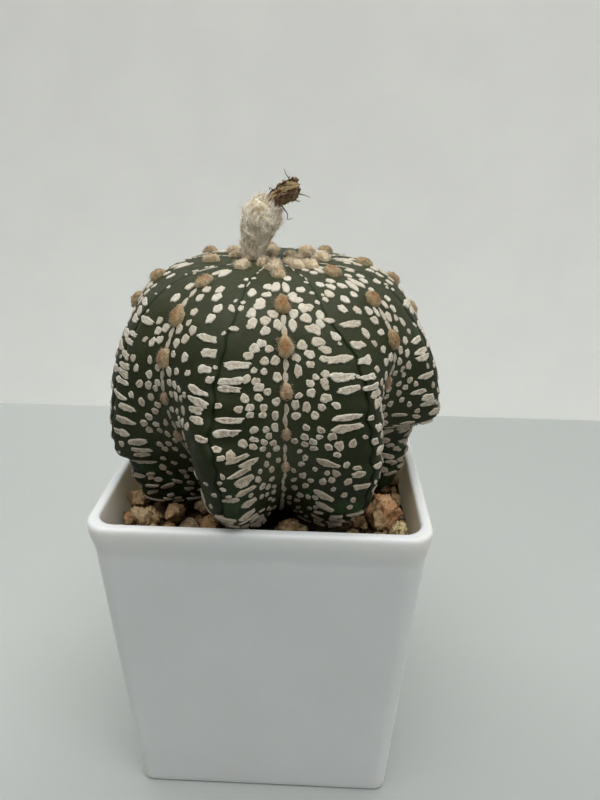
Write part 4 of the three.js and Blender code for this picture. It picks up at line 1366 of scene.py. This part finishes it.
def wool_finish():
    finish = Finish("flower_wool", Roughness=1.0, Specular_IOR_Level=0.1, Sheen_Weight=0.4)
    finish.tone = finish.ramp(finish.value("tint"), (0, (232, 216, 188)), (0.5, (254, 246, 228)),
                              (1, (255, 252, 240)))
    blots = finish.ramp(finish.noise(2.2, 4), (0.5, (255, 255, 255)), (0.66, (204, 190, 154)))
    finish.paint(0.85, blots, "MULTIPLY")
    # Painted shade in the hollows of the tube's core, and on some hairs at random.
    finish.stain(finish.spread(finish.value("depth"), 0.5, 1.0, 0, 0.6), 228, 210, 176)
    foot = finish.spread(finish.along_axis("Z"), (CROWN_HEIGHT + 4.5) * MM, CROWN_HEIGHT * MM,
                         0, 0.45)
    finish.stain(foot, 192, 166, 128)
    finish.bump((finish.noise(0.5, 3), 0.25, 0.7))
    return finish.done()


def petal_finish():
    finish = Finish("dried_petal", Roughness=0.8, Specular_IOR_Level=0.3)
    finish.tone = finish.ramp(finish.value("tint"), (0.0, (112, 82, 66)), (0.45, (148, 116, 94)),
                              (0.85, (162, 140, 98)), (1.0, (188, 168, 112)))
    finish.stain(finish.blots((0.8, 5, 0.7), 0.42, 0.7, 0, 0.75), 62, 42, 34)
    finish.bump((finish.noise(0.6, 4), 0.2, 0.8))
    return finish.done()


# The colours of each kind of pumice: light, dark and spots
PUMICE = {
    "pumice_tan": [(214, 186, 144), (180, 146, 104), (134, 102, 70)],
    "pumice_brown": [(190, 168, 138), (158, 132, 104), (122, 94, 70)],
    "pumice_orange": [(226, 188, 146), (208, 148, 102), (160, 114, 82)],
    "pumice_pale": [(232, 216, 172), (208, 186, 138), (170, 144, 102)],
}


def stone_finish(name, light, dark, spot):
    """Porous fired or volcanic stone: mottled, pitted and dusty."""
    finish = Finish(name, Roughness=0.95, Specular_IOR_Level=0.2)
    finish.tone = shade(*light)
    finish.stain(finish.blots((2.6, 5, 0.65), 0.35, 0.68), *dark)
    finish.stain(finish.blots((1.1, 4), 0.52, 0.7, 0, 0.8), *spot)
    pits = finish.spread(finish.cells(0.8), 0.05, 0.35)
    # Painted shade in the pits.
    finish.stain(finish.spread(pits, 0, 1, 0.35, 0), 70, 52, 38)
    finish.bump((finish.noise(1.3, 5, 0.7), 0.5, 0.8), (pits, 0.2, 0.6),
                (finish.noise(0.3, 3), 0.12, 0.7))
    return finish.done()


def grit_finish():
    finish = Finish("grit", Roughness=0.95, Specular_IOR_Level=0.2)
    finish.tone = finish.ramp(finish.value("hue"), (0.0, (160, 132, 98)), (0.35, (198, 170, 128)),
                              (0.7, (208, 186, 150)), (1.0, (194, 148, 100)))
    finish.stain(finish.blots((1.8, 5, 0.7), 0.42, 0.62, 0, 0.85), 118, 86, 58)
    # Dark spots: painted shade in small pits.
    finish.stain(finish.spread(finish.cells(0.6), 0.04, 0.3, 0.45, 0), 64, 46, 32)
    finish.stain(finish.spread(finish.value("tint"), 0.5, 1, 0, 0.45), 116, 102, 84)
    finish.bump((finish.noise(1.1, 5, 0.7), 0.5, 1.0), (finish.noise(0.4, 3), 0.2, 0.9))
    return finish.done()


def soil_finish():
    finish = Finish("potting_mix", Roughness=1.0, Specular_IOR_Level=0.1)
    finish.tone = finish.ramp(finish.noise(1.4, 5), (0.35, (60, 48, 38)), (0.7, (112, 92, 70)))
    finish.bump((finish.noise(1.0, 5, 0.7), 0.6, 1.0))
    return finish.done()


def pot_finish():
    """White plastic that lets a little light through, warmer on the way."""
    finish = Finish("white_plastic", Roughness=0.4, Specular_IOR_Level=0.45,
                    Subsurface_Weight=0.5, Subsurface_Radius=(1.0, 0.8, 0.55),
                    Subsurface_Scale=0.005)
    finish.tone = finish.ramp(finish.noise(24, 3), (0.3, (231, 232, 229)), (0.7, (236, 237, 235)))
    finish.stain(finish.blots((3.0, 6, 0.7), 0.68, 0.8, 0, 0.12), 196, 194, 188)
    finish.rough(finish.blots((6, 3), 0.3, 0.7, 0.36, 0.46))
    finish.bump((finish.noise(1.6, 2), 0.04, 0.25))
    return finish.done()


def floor_finish():
    """A plain floor with painted shade that darkens it toward the front and the right."""
    finish = Finish("floor", Roughness=0.6, Specular_IOR_Level=0.3)
    dark = finish.math("ADD", finish.spread(finish.along_axis("X"), -0.08, 0.08, 0, 0.35),
                       finish.spread(finish.along_axis("Y"), 0.02, -0.09, 0, 0.65))
    finish.tone = finish.ramp(dark, (0, (190, 194, 192)), (1, (160, 164, 162)))
    return finish.done()


def wall_finish():
    """A plain wall that glows, most at its foot, as one lit from below."""
    finish = Finish("wall", Roughness=0.6, Specular_IOR_Level=0.3)
    finish.tone = shade(232, 232, 228)
    finish.stain(finish.blots((40, 3), 0.4, 0.6, 0, 0.05), 150, 150, 150)
    finish.shader.inputs["Emission Color"].default_value = (1, 1, 0.97, 1)
    glow = finish.spread(finish.along_axis("Z"), 0, 0.25, 0.17, 0.017)
    finish.tree.links.new(glow, finish.shader.inputs["Emission Strength"])
    return finish.done()


# The studio

WALL_PLACE, STAGE_REACH = 192, 1500


def make_stage():
    """A plain pale floor, and a plain wall behind it as in a studio corner."""
    for name, corners, material in (
            ("floor", [(-1, -1, 0), (1, -1, 0), (1, 0, 0), (-1, 0, 0)], floor_finish()),
            ("wall", [(-1, 0, 0), (1, 0, 0), (1, 0, 1), (-1, 0, 1)], wall_finish())):
        mesh = bpy.data.meshes.new(name)
        points = [Vector(corner) * STAGE_REACH * MM for corner in corners]
        mesh.from_pydata([point + Vector((0, WALL_PLACE * MM, 0)) for point in points], [],
                         [(0, 1, 2, 3)])
        mesh.materials.append(material)
        backdrop = in_scene(name, mesh)


def add_light(name, place, aim, size, power, colour=(1, 1, 1)):
    """A round soft lamp; its size is its width and its power is in watts."""
    lamp = bpy.data.lights.new(name, "AREA")
    lamp.shape, lamp.size, lamp.energy, lamp.color = "DISK", size * MM, power, colour
    light = in_scene(name, lamp)
    light.location = Vector(place) * MM
    light.rotation_euler = (Vector(aim) - Vector(place)).to_track_quat("-Z", "Y").to_euler()


def light_studio():
    """A faint sky, a broad lamp overhead and a weaker one at the right."""
    world = bpy.data.worlds.new("studio")
    world.use_nodes = True
    sky = world.node_tree.nodes["Background"]
    sky.inputs["Color"].default_value = (0.97, 1.0, 0.97, 1)
    sky.inputs["Strength"].default_value = 0.12
    bpy.context.scene.world = world
    add_light("overhead", (-20, -90, 900), (0, 0, 60), 1000, 9.0, (1, 1, 0.985))
    add_light("right", (560, -380, 420), (0, 0, 70), 400, 0.9)


CAMERA_PLACE = (11.18, -134.1, 153.54)
CAMERA_YAW, CAMERA_PITCH, CAMERA_ROLL = np.radians([-1.82, 24.114, 0.937])
CAMERA_LENS = 27.9


def place_camera():
    """The camera stands close in front and looks down on the plant."""
    ahead = Vector((math.sin(CAMERA_YAW) * math.cos(CAMERA_PITCH),
                    math.cos(CAMERA_YAW) * math.cos(CAMERA_PITCH), -math.sin(CAMERA_PITCH)))
    level = Vector((math.cos(CAMERA_YAW), -math.sin(CAMERA_YAW), 0))
    upward = level.cross(ahead)
    right = level * math.cos(CAMERA_ROLL) + upward * math.sin(CAMERA_ROLL)
    top = right.cross(ahead)
    lens = bpy.data.cameras.new("camera")
    lens.lens, lens.clip_start, lens.clip_end = CAMERA_LENS, 0.01, 20
    camera = in_scene("camera", lens)
    camera.matrix_world = Matrix.Translation(Vector(CAMERA_PLACE) * MM) @ Matrix(
        (right, top, -ahead)).transposed().to_4x4()
    bpy.context.scene.camera = camera


place_camera()
light_studio()
make_stage()
bpy.context.scene.view_settings.view_transform = "Standard"

make_pot(pot_finish())
make_soil(soil_finish())
cactus = make_body(skin_finish())
make_flecks(fleck_finish())
make_areoles(areole_finish())
make_flower_tube(wool_finish())
make_dried_petals(petal_finish())
make_stones({name: stone_finish(name, *colours) for name, colours in PUMICE.items()})
body_points = np.array([vertex.co for vertex in cactus.data.vertices]) / MM
make_grit(grit_finish(), body_reach(body_points))
